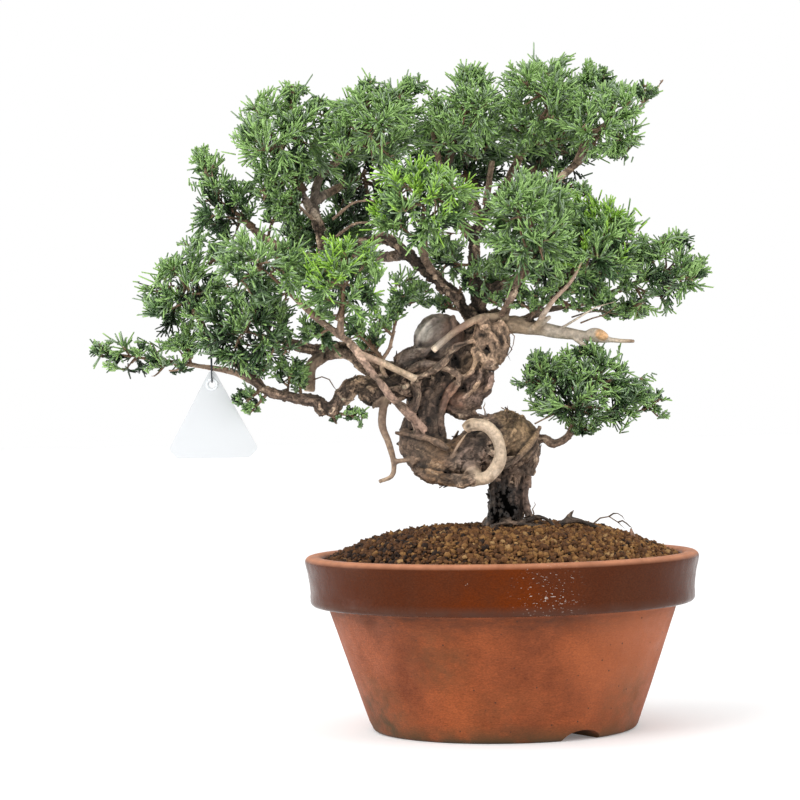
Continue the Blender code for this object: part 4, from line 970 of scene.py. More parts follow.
# colours of the bark, plain and linear
barkTones = {
    "plain": (0.26, 0.175, 0.122),
    "pale": (0.50, 0.375, 0.265),
    # near black for the cracks, and for painted shade in the folds
    "crack": (0.010, 0.007, 0.005),
    "wet": (0.0025, 0.002, 0.002),
    "soaked": (0.001, 0.0008, 0.0007),
    "pink": (0.30, 0.20, 0.165),
    "umber": (0.20, 0.105, 0.042),
    "rosy": (0.43, 0.28, 0.21),
    "gold": (0.44, 0.29, 0.16),
    "ruddy": (0.26, 0.135, 0.09),
    "scaly": (0.125, 0.082, 0.062),
    "grey": (0.24, 0.213, 0.19),
    "porous": (0.59, 0.39, 0.255),
    # near black, painted shade for hollows and holes
    "hollow": (0.005, 0.004, 0.003),
    "dead": (0.40, 0.295, 0.20),
    "deadPale": (0.66, 0.53, 0.40),
    "deadGrey": (0.15, 0.115, 0.088),
    "deadBrown": (0.135, 0.087, 0.062),
    "whitish": (0.50, 0.45, 0.39),
    "cut": (0.60, 0.30, 0.10),
}
# tones under which the bark is smoother
smoothTones = {
    "grey": 0.97,
    "whitish": 0.97,
    "porous": 0.25,
    "umber": 0.4,
    "ruddy": 0.8,
    "gold": 0.4,
    "rosy": 0.85,
}
# parts of the bark that look their own way: place, radius, tone, how far it covers, gloss
barkPatches = {
    "pinkFoot": ((18, -8, 158), 13, "pink", 0.7, 0.1),
    "wetFoot": ((-4, -8, 156), 17, "wet", 1.0, 0.55),
    "wetFootLow": ((0, -10, 143), 15, "wet", 1.0, 0.55),
    "wetRoots": ((26, -28, 142), 17, "wet", 1.0, 0.3),
    "wetStick": ((62, -18, 138), 24, "wet", 0.85, 0.3),
    "soilStub": ((89, -14, 130), 9, "ruddy", 0.8, 0.2),
    "kneeTop": ((14, -10, 209), 18, "gold", 0.95, 0.1),
    "kneeFront": ((10, -17, 198), 13, "gold", 0.95, 0.1),
    "kneeUnder": ((16, -12, 180), 11, "scaly", 0.6, 0.1),
    "turnFront": ((-38, -33, 182), 25, "umber", 0.85, 0.25),
    "turnLeft": ((-60, -24, 192), 17, "gold", 0.5, 0.2),
    "turnDark": ((-26, -33, 180), 14, "scaly", 0.8, 0.1),
    "curlPale": ((-8, -50, 190), 26, "deadPale", 0.4, 0.35),
    "rearStub": ((-127, 4, 249), 17, "deadBrown", 0.85, 0.1),
    "polished": ((-45, -15, 272), 21, "grey", 0.85, 0.62),
    "ridgeLeft": ((-60, -14, 258), 11, "grey", 0.6, 0.4),
    "bulgeDark": ((-29, -18, 273), 12, "ruddy", 0.9, 0.5),
    # painted shade below the bulge and along its left edge, and a painted highlight on its upper left
    "bulgeFootShade": ((-46, -18, 258), 9, "scaly", 0.9, 0.3),
    "bulgePaintedHighlight": ((-51, -16, 273), 7, "whitish", 1.0, 0.6),
    "bulgeEdgeShade": ((-60, -10, 260), 9, "scaly", 0.95, 0.2),
    "paleTwigs": ((40, -36, 296), 26, "pink", 0.7, 0.1),
    "behindCurl": ((-18, -30, 190), 12, "pink", 0.6, 0.1),
    "hangTop": ((-78, -20, 214), 12, "deadBrown", 0.7, 0.1),
    "crossMiddle": ((-24, -22, 277), 20, "deadBrown", 0.7, 0.2),
    "turnTop": ((-42, -30, 203), 11, "deadGrey", 0.6, 0.1),
    # painted shade in the pocket
    "pocket": ((-16, -26, 200), 11, "hollow", 0.75, 0.1),
    "upwardLimb": ((-50, -18, 214), 19, "scaly", 0.9, 0.1),
    "gnarls": ((-20, -22, 250), 11, "gold", 0.55, 0.15),
    "smoothPatch": ((-32, -14, 226), 10, "ruddy", 0.9, 0.3),
    "burr": ((-5, -20, 264), 17, "porous", 0.9, 0.15),
    "lowBurr": ((-12, -14, 234), 14, "pink", 0.8, 0.1),
    "leftKnob": ((-90, -18, 240), 14, "gold", 0.4, 0.2),
    # painted shade in the cavity and in the hole at the curl's end
    "cavity": ((-34, -14, 252), 8, "hollow", 1.0, 0.0),
    "cavityLow": ((-38, -12, 244), 6, "hollow", 0.8, 0.0),
    "curlEnd": ((-21, -35, 208), 4, "hollow", 0.9, 0.0),
    "lowBurrGold": ((-14, -20, 230), 8, "gold", 0.6, 0.1),
    "crossEnd": ((-45, -27, 259), 4, "deadPale", 0.9, 0.0),
    "hanging": ((-76, -24, 196), 32, "deadBrown", 1.0, 0.1),
    "rightDead": ((56, -14, 268), 30, "whitish", 0.7, 0.2),
    "rightEnd": ((71, -19, 267.5), 4.5, "cut", 0.9, 0.0),
    "rightTip": ((96, -15, 262), 9, "deadBrown", 0.9, 0.0),
    "leftFork": ((-125, 14, 370), 18, "grey", 0.55, 0.4),
    "slopingEnd": ((-58, -40, 213), 12, "rosy", 0.95, 0.2),
    "slopingMiddle": ((-74, -48, 230), 12, "rosy", 0.8, 0.2),
    "slopingUpper": ((-90, -54, 250), 13, "rosy", 0.7, 0.2),
}


def sweep(line, sides):
    _, across, beside = ringFrames(line)
    turns = 2 * np.pi * np.arange(sides) / sides
    ring = across[:, None] * np.cos(turns)[:, None] + beside[:, None] * np.sin(turns)[:, None]
    verts = (line[:, None, :3] + ring * line[:, 3][:, None, None]).reshape(-1, 3)
    faces = []
    for r in range(len(line) - 1):
        for k in range(sides):
            a, b = r * sides + k, r * sides + (k + 1) % sides
            faces += [(a, b, b + sides), (a, b + sides, a + sides)]
    ends = ((0, line[0], -1), ((len(line) - 1) * sides, line[-1], 1))
    for first, place, way in ends:
        verts = np.vstack([verts, place[:3]])
        middle = len(verts) - 1
        for k in range(sides):
            a, b = first + k, first + (k + 1) % sides
            faces.append((a, b, middle) if way > 0 else (b, a, middle))
    return verts, np.array(faces)


def ballShape(place, half):
    rings, sides = 10, 16
    line = []
    for k in range(rings + 1):
        angle = math.pi * (k + 0.02) / (rings + 0.04)
        line.append((0, 0, -math.cos(angle), math.sin(angle)))
    verts, faces = sweep(np.array(line, float), sides)
    return verts * half + np.array(place, float), faces


def fineLimb(name):
    # the limb's line with close rings, wider where it leaves its parent
    line = smoothLine(lines[name], wood["ringStep"])
    line[:, 3] *= wood["thinner"].get(name, 1)
    if name == "trunk":
        trim = wood["footTrim"]
        low = np.clip((trim["top"] - line[:, 2]) / trim["over"], 0, 1) * (line[:, 0] > -5)
        line[:, 3] -= trim["thinner"] * low
        line[:, 0] -= trim["leftwards"] * low
    else:
        if name == "right_dead_bough":
            tip = wood["deadTip"]
            line[:, 3] *= 1 - tip["thinner"] * np.clip((line[:, 0] - tip["from"]) / tip["over"], 0, 1)
        line[:, 3] *= 1 + wood["collar"] * np.exp(-((runOf(line) / wood["collarLength"]) ** 2))
    return line


def barkNoise(places):
    return np.array([noise.noise(Vector(place)) for place in places])


def barkCells(places):
    # how near each place is to a crack between cells, and a number for its cell
    edges, cells = np.zeros(len(places)), np.zeros(len(places))
    for k, place in enumerate(places):
        away, centres = noise.voronoi(Vector(place))
        edges[k] = away[1] - away[0]
        cells[k] = noise.cell(centres[0] * 7.3)
    return edges, cells


def woodSurface():
    parts = []
    for name in lines:
        limb = fineLimb(name)
        parts.append(sweep(limb, 20 if limb[:, 3].max() > 5 else 12))
    balls = [ball for name, ball in swellings.items() if name != "root_right"]
    balls += [spec["knob"] for spec in boughs.values() if "knob" in spec]
    balls += [(place, (size, size, size * 1.2)) for place, size in wood["burrLumps"]]
    for place, half in [wood["reshaped"].get(place, (place, half)) for place, half in balls]:
        parts.append(ballShape(place, np.array(half, float)))
    parts += [sweep(smoothLine(line, wood["ringStep"]), 10) for line, _ in smallWood.values()]
    piece = inScene("wood", meshOf("wood", *joined(parts)))
    fuse = piece.modifiers.new("fuse", "REMESH")
    fuse.mode = "VOXEL"
    fuse.voxel_size = wood["voxel"] * mm
    soften = piece.modifiers.new("soften", "SMOOTH")
    soften.factor = 0.5
    soften.iterations = 2
    return applied(piece)


def creasesOf(mesh, verts, normals):
    # how deep in a fold each vertex is, from -1 on an edge to 1 in a fold
    count = len(verts)
    edges = np.zeros(len(mesh.edges) * 2, np.int32)
    mesh.edges.foreach_get("vertices", edges)
    a, b = np.concatenate([edges[::2], edges[1::2]]), np.concatenate([edges[1::2], edges[::2]])
    near = np.maximum(np.bincount(a, minlength=count), 1)
    even = verts.copy()
    for _ in range(wood["creaseReach"]):
        even = np.stack([np.bincount(a, even[b, k], count) / near for k in range(3)], axis=1)
    return np.clip(np.sum((even - verts) * normals, axis=1) / wood["creaseDepth"], -1, 1)


def limbUnder(verts):
    # for each vertex its limb, the limb's radius, and the vertex's place along and across it
    names = list(lines)
    frames, alongs, owners = [], [], []
    shapes = [*lines.items(), *[(name, line) for line, name in smallWood.values()]]
    for j, (name, line) in enumerate(shapes):
        limb = smoothLine(line, 2)
        frames.append(np.hstack([limb, *ringFrames(limb)]))
        alongs.append(runOf(limb) + wood["shift"] * j)
        owners += [names.index(name)] * len(limb)
    frames, alongs, owners = np.vstack(frames), np.concatenate(alongs), np.array(owners)
    tree = treeOf(frames)
    nearest = np.zeros(len(verts), int)
    for k, place in enumerate(verts):
        nearest[k] = min(tree.find_n(place, 10), key=lambda hit: hit[2] - frames[hit[1], 3])[1]
    own = frames[nearest]
    offset, thick = verts - own[:, :3], own[:, 3]
    stray = np.linalg.norm(offset, axis=1) - thick > wood["strayGap"]
    nearTrunk = (verts[:, 2] < wood["trunkTop"]) & (verts[:, 0] > wood["trunkLeft"])
    owner = np.where(stray & nearTrunk, 0, owners[nearest])
    way, across, beside = (np.sum(offset * own[:, k:k + 3], axis=1) for k in (4, 7, 10))
    return owner, thick, alongs[nearest] + way, np.stack([across, beside], axis=1)


def barkRelief(mesh):
    # moves the surface and returns the limb, colour and gloss of each vertex
    verts, normals = surfaceOf(mesh)
    count = len(verts)
    crease = creasesOf(mesh, verts, normals)
    owner, thick, along, flat = limbUnder(verts)
    names = list(lines)
    dead = np.isin(owner, [names.index(name) for name in deadNames])
    strength = np.clip(thick / wood["thinRadius"], np.where(owner == 0, 0.6, 0.15), 1.0)
    strength = np.where(dead, strength * wood["deadRelief"], strength)

    def local(acrossSize, alongSize):
        return np.column_stack([flat / acrossSize, along / alongSize])

    lumpSize, lumpHeight = wood["lump"]
    lump = barkNoise(verts / lumpSize)
    warpSize, warpShare = wood["warp"]
    warp = np.column_stack([barkNoise(verts / warpSize + shift) for shift in (11.3, 27.1, 41.7)])
    warp = warp * warpShare * 2
    ridgeAcross, ridgeAlong, ridgeHeight = wood["ridge"]
    ridge = 1 - 2 * np.abs(barkNoise(local(ridgeAcross, ridgeAlong) + warp * 0.5))
    plateAcross, plateAlong, plateHeight = wood["plate"]
    edges, cells = barkCells(local(plateAcross, plateAlong) + warp)
    timesAcross, timesAlong = wood["bigPlate"]
    large = local(plateAcross * timesAcross, plateAlong * timesAlong)
    bigEdges, bigCells = barkCells(large + warp * 0.7 + 5)
    width, depth, bigWidth = wood["cracks"]
    crack = np.maximum(np.clip(1 - edges / width, 0, 1) * depth, np.clip(1 - bigEdges / bigWidth, 0, 1))
    fineSize, fineHeight = wood["fine"]
    fine = barkNoise(verts / fineSize)
    stout = np.where(owner == 0, np.clip(thick / 7, 0.4, 1), np.clip((thick - 1.5) / 5, 0, 1))
    plated = (cells - 0.5) * plateHeight + (bigCells - 0.4) * plateHeight * 2.2 - crack * plateHeight * 1.5
    relief = (ridge - 0.5) * ridgeHeight + fine * fineHeight + np.where(dead, 0, plated * stout)
    move = (relief + lump * lumpHeight) * strength
    # painted light and shade from the relief: higher bark lighter, lower bark darker
    shade = np.clip(1 + relief * np.where(dead, 0.3, 0.75) * np.clip(strength * 1.4, 0.3, 1), 0.25, 2.1)
    crack = crack * (0.25 + 0.75 * stout)
    tones = {name: np.array(tone) for name, tone in barkTones.items()}
    colour = np.where(dead[:, None], tones["dead"], tones["plain"])
    paleShare = np.clip((bigCells * 0.6 + cells * 0.5 - 0.5) * 2.4, 0, 1) * 0.85
    colour = towards(colour, np.where(dead[:, None], tones["deadPale"], tones["pale"]), paleShare)
    streak = np.clip(barkNoise(local(1.6, 26)) * 1.8 + 0.1, 0, 1) * 0.45
    colour = towards(colour, np.where(dead[:, None], tones["deadGrey"], tones["scaly"]), streak)
    gloss = np.full(count, 0.1)
    porous, smooth = np.zeros(count), np.zeros(count)
    for place, radius, tone, share, shine in barkPatches.values():
        away = np.linalg.norm(verts - np.array(place, float), axis=1) / radius
        weight = np.clip((1.15 - away + 0.45 * lump) / 0.4, 0, 1)
        weight = np.clip(weight * share * (0.75 + 0.25 * fine), 0, 1)
        colour = towards(colour, tones[tone], weight)
        gloss = gloss + (shine - gloss) * weight
        smooth = np.maximum(smooth, weight * smoothTones.get(tone, 0))
        if tone == "porous":
            porous = np.maximum(porous, weight)
    move *= 1 - 0.7 * smooth
    pits = np.clip(0.22 - barkCells(verts / (3.4, 3.4, 5) + warp * 1.2)[0], 0, 1) * 4.2
    move -= porous * pits * 0.8
    # the painted light and shade of the relief, weaker where the bark is smooth
    colour = colour * (shade + (1 - shade) * smooth * 0.8)[:, None]
    dark = crack * np.where(dead, 0.1, 0.9) * (1 - 0.8 * smooth) + np.clip(0.15 - ridge, 0, 1) * 0.5
    dark = np.clip(dark + porous * pits * 0.6, 0, 0.97)
    colour = towards(colour, tones["crack"], dark)
    # painted shade in the folds and painted highlight on the outward bends
    folds = np.clip(crease, 0, 1) * np.where(dead, 0.6, 0.92)
    colour = colour * (1 + 0.5 * np.clip(-crease, 0, 1))[:, None]
    colour = towards(colour, tones["crack"], folds)
    flaky = np.where(dead, 0.1, 0.25 + 0.4 * stout) * (1 - smooth)
    wet = np.linalg.norm(colour - tones["wet"], axis=1) < 0.03
    # each hollow pressed in and filled with painted shade
    for place, radius, depth in hollows.values():
        away = np.linalg.norm(verts - np.array(place, float), axis=1) / radius + 0.25 * ridge
        inside = np.clip(1.3 - away + 0.3 * lump, 0, 1)
        move -= inside**2 * depth
        colour = towards(colour, tones["hollow"], np.clip(inside * 1.3, 0, 1))
    verts += normals * move[:, None]
    mesh.vertices.foreach_set("co", (verts * mm).astype(np.float32).ravel())
    return verts, owner, dead, np.clip(colour, 0.002, 0.9), gloss, flaky, wet


def cracksOf(look, size, width):
    # thin cracks between ragged flakes of a size in millimetres, and a number for each flake
    wave = addNode(look, "TexNoise", {"Vector": placeOf(look), "Scale": 700 / size, "Detail": 3})
    middle = {0: wave.outputs["Color"], 1: (0.5, 0.5, 0.5)}
    centred = addNode(look, "VectorMath", middle, operation="SUBTRACT").outputs["Vector"]
    pull = scaledBy(look, centred, size * mm * 1.6)
    place = addNode(look, "VectorMath", {0: placeOf(look), 1: pull}).outputs["Vector"]
    squeezed = addNode(look, "Mapping", {"Vector": place, "Scale": (1, 1, 1.35)}).outputs["Vector"]
    settings = {"Vector": squeezed, "Scale": 1000 / size}
    edge = addNode(look, "TexVoronoi", settings, feature="DISTANCE_TO_EDGE").outputs["Distance"]
    cell = addNode(look, "TexVoronoi", settings).outputs["Color"]
    number = addNode(look, "SeparateXYZ", {0: cell}).outputs["X"]
    return spread(look, edge, width, 0.0), number


def barkLook(name, grainSize):
    look, shader = newLook(name, Specular_IOR_Level=0.45)
    tone = addNode(look, "Attribute", attribute_name="tone").outputs["Color"]
    gloss = addNode(look, "Attribute", attribute_name="gloss").outputs["Fac"]
    flaky = addNode(look, "Attribute", attribute_name="flaky").outputs["Fac"]
    (coarse, number), (fine, fineNumber) = (cracksOf(look, *scale) for scale in wood["scales"])
    grainNoise = noiseOf(look, grainSize, 6)
    smooth = spread(look, gloss, 0.12, 0.6)
    grain = mixed(look, smooth, spread(look, grainNoise, 0.3, 0.7, 0.62, 1.38), (1.0, 1.0, 1.0))
    patches = times(look, spread(look, number, 0, 1, 0.55, 1.5), spread(look, fineNumber, 0, 1, 0.9, 1.12))
    dealt = mixed(look, flaky, (1.0, 1.0, 1.0), patches)
    scaled = addNode(look, "VectorMath", {0: tone, 1: grain}, operation="MULTIPLY").outputs["Vector"]
    scaled = addNode(look, "VectorMath", {0: scaled, 1: dealt}, operation="MULTIPLY").outputs["Vector"]
    both = math2(look, "MAXIMUM", coarse, times(look, fine, 0.35))
    dark = times(look, both, times(look, flaky, 0.9))
    setColour(look, shader, mixed(look, dark, scaled, (0.008, 0.005, 0.004)))
    setRoughness(look, shader, spread(look, gloss, 0.0, 0.6, 0.82, 0.3))
    flakes = times(look, math2(look, "SUBTRACT", number, both), flaky)
    grit = times(look, grainNoise, spread(look, gloss, 0.12, 0.6, 1.0, 0.15))
    height = math2(look, "ADD", flakes, grit)
    setBump(look, shader, height, 0.7, 0.9)
    return look


def barkFlakes(verts, normals, scaly, colour, wanted, sizes, draw):
    # scraps of bark that stand off the wood along one edge
    bank = np.flatnonzero(scaly & (verts[:, 2] > wood["flakesAbove"]))
    picked = draw.choice(bank, wanted, replace=False)
    low, high = sizes
    grid = np.array([(a, b) for b in (0, 0.5, 1) for a in (-0.5, 0, 0.5)])
    places, faces, tones = [], [], []
    for n, k in enumerate(picked):
        out = normals[k]
        level = unit(np.cross(out, draw.normal(size=3) + np.array((0, 0, 1.2))))
        up = np.cross(level, out)
        long, wide = draw.uniform(low, high), draw.uniform(low, high) * 0.8
        lift = draw.uniform(0.15, 0.75)
        a = (grid[:, 0] + draw.normal() * 0.2 * grid[:, 1]) * wide * (1 - 0.75 * grid[:, 1])
        b = grid[:, 1] * long
        rise = 0.1 + lift * (grid[:, 1] ** 1.6) * long * 0.35 - 0.9 * grid[:, 0] ** 2
        rise = rise + draw.normal(size=9) * 0.12
        top = verts[k] + level * a[:, None] + up * b[:, None] + out * rise[:, None]
        under = top - out * draw.uniform(0.3, 0.6)
        places += [top, under]
        tone = colour[k] + (0.025, 0.018, 0.014)
        tone = tone * min(draw.uniform(0.6, 1.6), 0.4 / tone.max())
        tones += [np.tile(tone, (9, 1)), np.tile(tone * 0.3, (9, 1))]
        first = n * 18
        for r in (0, 1):
            for c in (0, 1):
                q = first + r * 3 + c
                faces += [(q, q + 1, q + 4, q + 3), (q + 9, q + 12, q + 13, q + 10)]
        rim = [0, 1, 2, 5, 8, 7, 6, 3]
        for a, b in zip(rim, rim[1:] + rim[:1]):
            faces.append((first + b, first + a, first + a + 9, first + b + 9))
    return np.vstack(places), np.array(faces), np.clip(np.vstack(tones), 0.004, 0.8)


def makeWood():
    surface = woodSurface()
    verts, owner, dead, colour, gloss, flaky, wet = barkRelief(surface)
    surface.update()
    normals = surfaceOf(surface)[1]
    draw = np.random.default_rng(wood["seed"])
    dealt = (
        ("trunkWood", (owner == 0) & (flaky > 0.4) & ~wet, wood["flakes"], wood["flakeSize"]),
        ("boughWood", (owner > 0) & ~dead, wood["smallFlakes"], wood["smallFlakeSize"]),
    )
    scraps = {name: barkFlakes(verts, normals, scaly, colour, wanted, sizes, draw)
              for name, scaly, wanted, sizes in dealt}
    count = len(surface.polygons)
    quads = np.zeros(count * 4, np.int32)
    surface.polygons.foreach_get("vertices", quads)
    quads = quads.reshape(-1, 4)
    quads = quads[verts[quads[:, 0], 2] > wood["low"]]
    kind = np.where(owner == 0, 0, np.where(dead, 2, 1))[quads[:, 0]]
    wetTone = barkTones["soaked"]
    wetLook, shader = newLook("wetBark", Base_Color=wetTone, Roughness=0.35, Specular_IOR_Level=0.02)
    setBump(wetLook, shader, noiseOf(wetLook, 260, 6), 1.2, 1.0)
    living = [name for name in lines if name != "trunk" and name not in deadNames]
    groups = (
        ("trunkWood", "bark", ["trunk"], barkLook("barkTrunk", 320)),
        ("boughWood", "bark", living, barkLook("barkBough", 420)),
        ("deadWood", "deadwood", deadNames, barkLook("deadGrain", 380)),
    )
    for k, (name, slotName, replaced, look) in enumerate(groups):
        own = quads[kind == k]
        used, corners = np.unique(own, return_inverse=True)
        corners, places, tones = corners.reshape(-1, 4), verts[used], colour[used]
        shines, flakiness = gloss[used], flaky[used]
        kinds = wet[own].all(axis=1).astype(int)
        if name in scraps:
            flakes = scraps[name]
            corners = np.vstack([corners, flakes[1] + len(places)])
            places, tones = np.vstack([places, flakes[0]]), np.vstack([tones, flakes[2]])
            shines = np.concatenate([shines, np.full(len(flakes[0]), 0.1)])
            flakiness = np.concatenate([flakiness, np.full(len(flakes[0]), 0.3)])
            kinds = np.concatenate([kinds, np.zeros(len(flakes[1]), int)])
        mesh = meshOf(name, places, corners, kinds)
        tone = mesh.attributes.new("tone", "FLOAT_COLOR", "POINT")
        opaque = np.column_stack([tones, np.ones(len(tones))])
        tone.data.foreach_set("color", opaque.astype(np.float32).ravel())
        for label, values in (("gloss", shines), ("flaky", flakiness)):
            layer = mesh.attributes.new(label, "FLOAT", "POINT")
            layer.data.foreach_set("value", values.astype(np.float32))
        addPiece(mesh, [look, wetLook], replaced)
        print(name, "triangles", 2 * len(corners))


makeWood()
print("wood made")


# Foliage: stems and side twigs as in the solids, finer twigs that carry sprigs of scale leaves

foliage = {
    "stemRadius": 1.6,
    "tipRadius": 1.1,
    "lead": 0.35,
    "backward": -0.55,
    "stemFoot": 5,
    "stemShare": 0.85,
    "stemLongest": 1.45,
    "stemThick": 0.75,
    "stemEnds": 0.08,
    "twigFoot": 3,
    "twigLongest": 70,
    "twigShortest": 12,
    "margin": 0.12,
    "limbMargin": 1.2,
    "goldenAngle": 137.5,
    "branchlets": (0.55, 17),  # depth of the finer twigs' ends and their spacing
    "shells": ((0.95, 16), (0.76, 19), (0.55, 23)),    # depth of the tufts' tips and their spacing
    "tuft": 19,              # size of the tufts
    "notch": 0.36,           # and how far the gaps between them cut in
    "edge": 1.01,
    "outline": (0.94, 0.5, 12),   # depth that no thread passes, how much it varies, over what size
    "sprigs": 16,            # different ones
    "sprigsInTuft": (3, 6),
    "fan": 0.36,             # how far a tuft's sprigs spread
    "sprigLength": (14, 25),
    "threadRadius": (0.7, 0.6),
    "shootStep": 2.7,
    "shootLength": 12.5,
    "shootAngle": 33,
    "forkLength": (4, 7),
    "forked": 0.35,          # share of the side threads that fork
    "lift": 0.5,             # how much sprigs turn up
    "clearLimb": 0.6,
    "sprigSize": 21.5,       # length at which a sprig's threads have their full size
    "shade": {"at": 0.83, "depth": 4.2, "up": 0.8, "back": 0.25},   # painted light and shade of the greens: lighter outwards and on upward sides, darker on back sides
    "paintedHighlights": (0.15, 0.28),    # share of threads painted pale as highlights, on fresh masses and on others
    "twigTones": ((0.20, 0.12, 0.07), (0.30, 0.20, 0.13), (0.10, 0.06, 0.035)),
    "twigShares": (0.5, 0.25, 0.25),
    "branchletThick": (0.8, 1.3, 0.75),      # share of its parent's radius, the most, and its end's
    "sprigTwigThick": (0.85, 0.95, 0.6),
    "strayRadius": (0.6, 0.35),
    "seed": 11,
}
# plain greens, from painted deep shade to painted light and the fresh tips, and a pale one for painted
# highlights last
greens = [
    (0.014, 0.030, 0.011),
    (0.048, 0.100, 0.036),
    (0.140, 0.250, 0.085),
    (0.320, 0.510, 0.165),
    (0.345, 0.600, 0.080),
    (0.270, 0.370, 0.225),
]
# smaller clumps between the masses, by the piece that they go with: place and half widths
clumps = {
    "leavesUpperLeft": [
        ((-145, 0, 361), (15, 14, 15)), ((-118, -8, 429), (12, 12, 8)), ((-68, -14, 430), (15, 14, 9)),
        ((-85, -10, 439), (12, 10, 8)), ((-54, -10, 440), (11, 10, 8)), ((-137, -8, 437), (11, 10, 8)),
        ((-158, -4, 367), (10, 9, 7)), ((-152, -4, 352), (10, 8, 5)),
    ],
    "leavesBack": [
        ((-34, 32, 322), (15, 14, 18)), ((-36, 12, 291), (12, 9, 8)), ((3, 26, 308), (12, 12, 16)),
        ((-42, 4, 290), (14, 8, 5)),
    ],
    "leavesRight": [
        ((8, -22, 318), (17, 9, 13)), ((40, -26, 318), (18, 10, 13)), ((14, -18, 297), (12, 8, 8)),
        ((26, -22, 293), (13, 8, 9)), ((46, -20, 298), (14, 8, 9)), ((68, -14, 294), (17, 9, 8)),
        ((88, 2, 283), (20, 12, 7)), ((17, -22, 289), (12, 8, 7)), ((52, -14, 286), (12, 8, 5)),
        ((72, -14, 288), (12, 8, 6)), ((138, -4, 311), (9, 10, 10)), ((124, -4, 333), (11, 10, 9)),
        ((64, -12, 256), (17, 12, 7)), ((24, -12, 236), (9, 10, 14)), ((58, -8, 203), (12, 10, 7)),
        ((107, -8, 221), (12, 11, 12)), ((60, -10, 367), (10, 9, 7)), ((27, -10, 251), (10, 9, 9)),
    ],
    "leavesFront": [
        ((-16, -20, 308), (13, 9, 15)), ((-52, -4, 301), (10, 8, 9)), ((-68, -10, 288), (9, 8, 14)),
        ((-122, -28, 271), (14, 12, 10)), ((-99, -22, 275), (10, 9, 10)), ((-80, -12, 278), (9, 9, 9)),
        ((-88, -12, 267), (13, 12, 10)), ((-3, -20, 292), (9, 8, 6)), ((-118, -34, 284), (10, 8, 8)),
    ],
    "leavesLeft": [
        ((-215, -6, 267), (13, 9, 10)), ((-169, -16, 220), (8, 7, 5)), ((-113, -20, 214), (7, 7, 5)),
        ((-143, -8, 245), (15, 12, 9)), ((-137, -8, 239), (9, 8, 8)), ((-98, -22, 215), (9, 8, 8)),
        ((-171, -16, 228), (13, 9, 9)), ((-226, -7, 250), (20, 9, 6)), ((-232, -4, 289), (12, 9, 7)),
        ((-212, -6, 263), (11, 9, 8)), ((-272, -5, 263), (9, 8, 8)), ((-200, 6, 392), (11, 9, 12)),
        ((-208, 0, 337), (11, 10, 8)), ((-190, -4, 327), (11, 9, 9)),
    ],
    "leavesTop": [
        ((-16, -6, 446), (12, 12, 9)), ((74, -6, 445), (13, 12, 10)), ((103, -10, 433), (11, 10, 8)),
        ((88, -14, 391), (17, 10, 8)),
    ],
}
clumpLight = 0.35
# bare twiglets that lie on the soil or stand out of the leaves
strayTwigs = [
    ((50, -18, 280), (60, -20, 283), (70, -20, 284), (78, -20, 282), (86, -20, 280)),
    ((56, -18, 276), (64, -20, 279), (72, -20, 281), (78, -20, 285), (83, -20, 289)),
    ((1, -16, 268), (7, -18, 272), (11, -18, 268), (10, -18, 262), (7, -18, 256)),
    ((0, -18, 262), (6, -20, 264), (9, -20, 259), (6, -20, 255), (8, -19, 251)),
    ((-127, 0, 241), (-121, -2, 243), (-116, -2, 241), (-113, -4, 236), (-110, -6, 232)),
    ((62, -16, 139), (67, -16, 143), (73, -17, 144), (79, -17, 140), (84, -18, 135)),
    ((73, -17, 144), (76, -17, 146), (79, -17, 146), (82, -17, 144), (84, -17, 141)),
    ((79, -17, 140), (82, -17, 141), (85, -17, 139), (87, -17, 137), (89, -17, 136)),
    ((20, -14, 142), (22, -16, 147), (21, -17, 150), (23, -18, 153), (22, -18, 156)),
    ((4, -24, 210), (5, -25, 213), (4, -26, 216), (5, -26, 219), (5, -26, 221)),
    ((-10, -16, 214), (-10, -18, 217), (-11, -18, 220), (-10, -18, 222), (-10, -18, 224)),
    ((24, -10, 208), (30, -12, 211), (35, -12, 213), (40, -12, 216), (44, -12, 220)),
]
# openings through the leaves as the front shows them: x and z, and half widths along them
openings = [
    (-71, 325, 11, 10), (-46, 280, 9, 12), (91, 377, 22, 7), (-179, 391, 9, 14), (30, 473, 36, 11),
    (84, 461, 14, 9), (114, 411, 9, 15), (97, 365, 17, 8), (120, 348, 22, 7), (118, 232, 7, 12),
    (72, 272, 9, 5), (-246, 279, 9, 5), (-178, 424, 9, 5), (87, 451, 9, 8), (-35, 440, 10, 7),
    (-111, 438, 14, 5), (78, 385, 12, 4), (100, 392, 8, 7), (-152, 340, 11, 3), (58, 382, 12, 5),
    (73, 368, 7, 7), (-68, 321, 11, 9), (-230, 249, 9, 4), (-207, 232, 14, 3), (-208, 252, 8, 3),
    (-262, 243, 22, 6), (-183, 240, 6, 8), (-192, 245, 7, 6), (34, 211, 6, 4), (-77, 303, 8, 10),
    (-58, 285, 8, 8), (-170, 440, 9, 9), (-172, 385, 8, 8), (-152, 338, 9, 4), (28, 469, 34, 12),
    (108, 408, 8, 16), (92, 361, 12, 6), (110, 350, 10, 6), (126, 343, 22, 7), (152, 325, 6, 12),
    (133, 288, 8, 8), (84, 275, 16, 3), (108, 248, 12, 8), (74, 263, 10, 3), (12, 250, 4, 9),
    (8, 226, 4, 8), (76, 199, 10, 5), (-35, 450, 11, 11), (-181, 402, 8, 7), (-240, 317, 9, 9),
    (-208, 369, 8, 9), (-212, 343, 7, 6), (88, 255, 15, 5), (58, 383, 11, 4), (-152, 334, 6, 3),
    (-262, 283, 30, 8), (17, 312, 7, 3), (-26, 362, 4, 3), (-9, 356, 4, 5), (-222, 353, 8, 12),
    (98, 244, 14, 6), (4, 404, 3, 5), (-112, 393, 5, 4), (-98, 330, 5, 3), (-128, 302, 4, 3),
    (30, 228, 5, 3), (38, 330, 3, 4), (-62, 404, 3, 4), (100, 300, 4, 3),
]
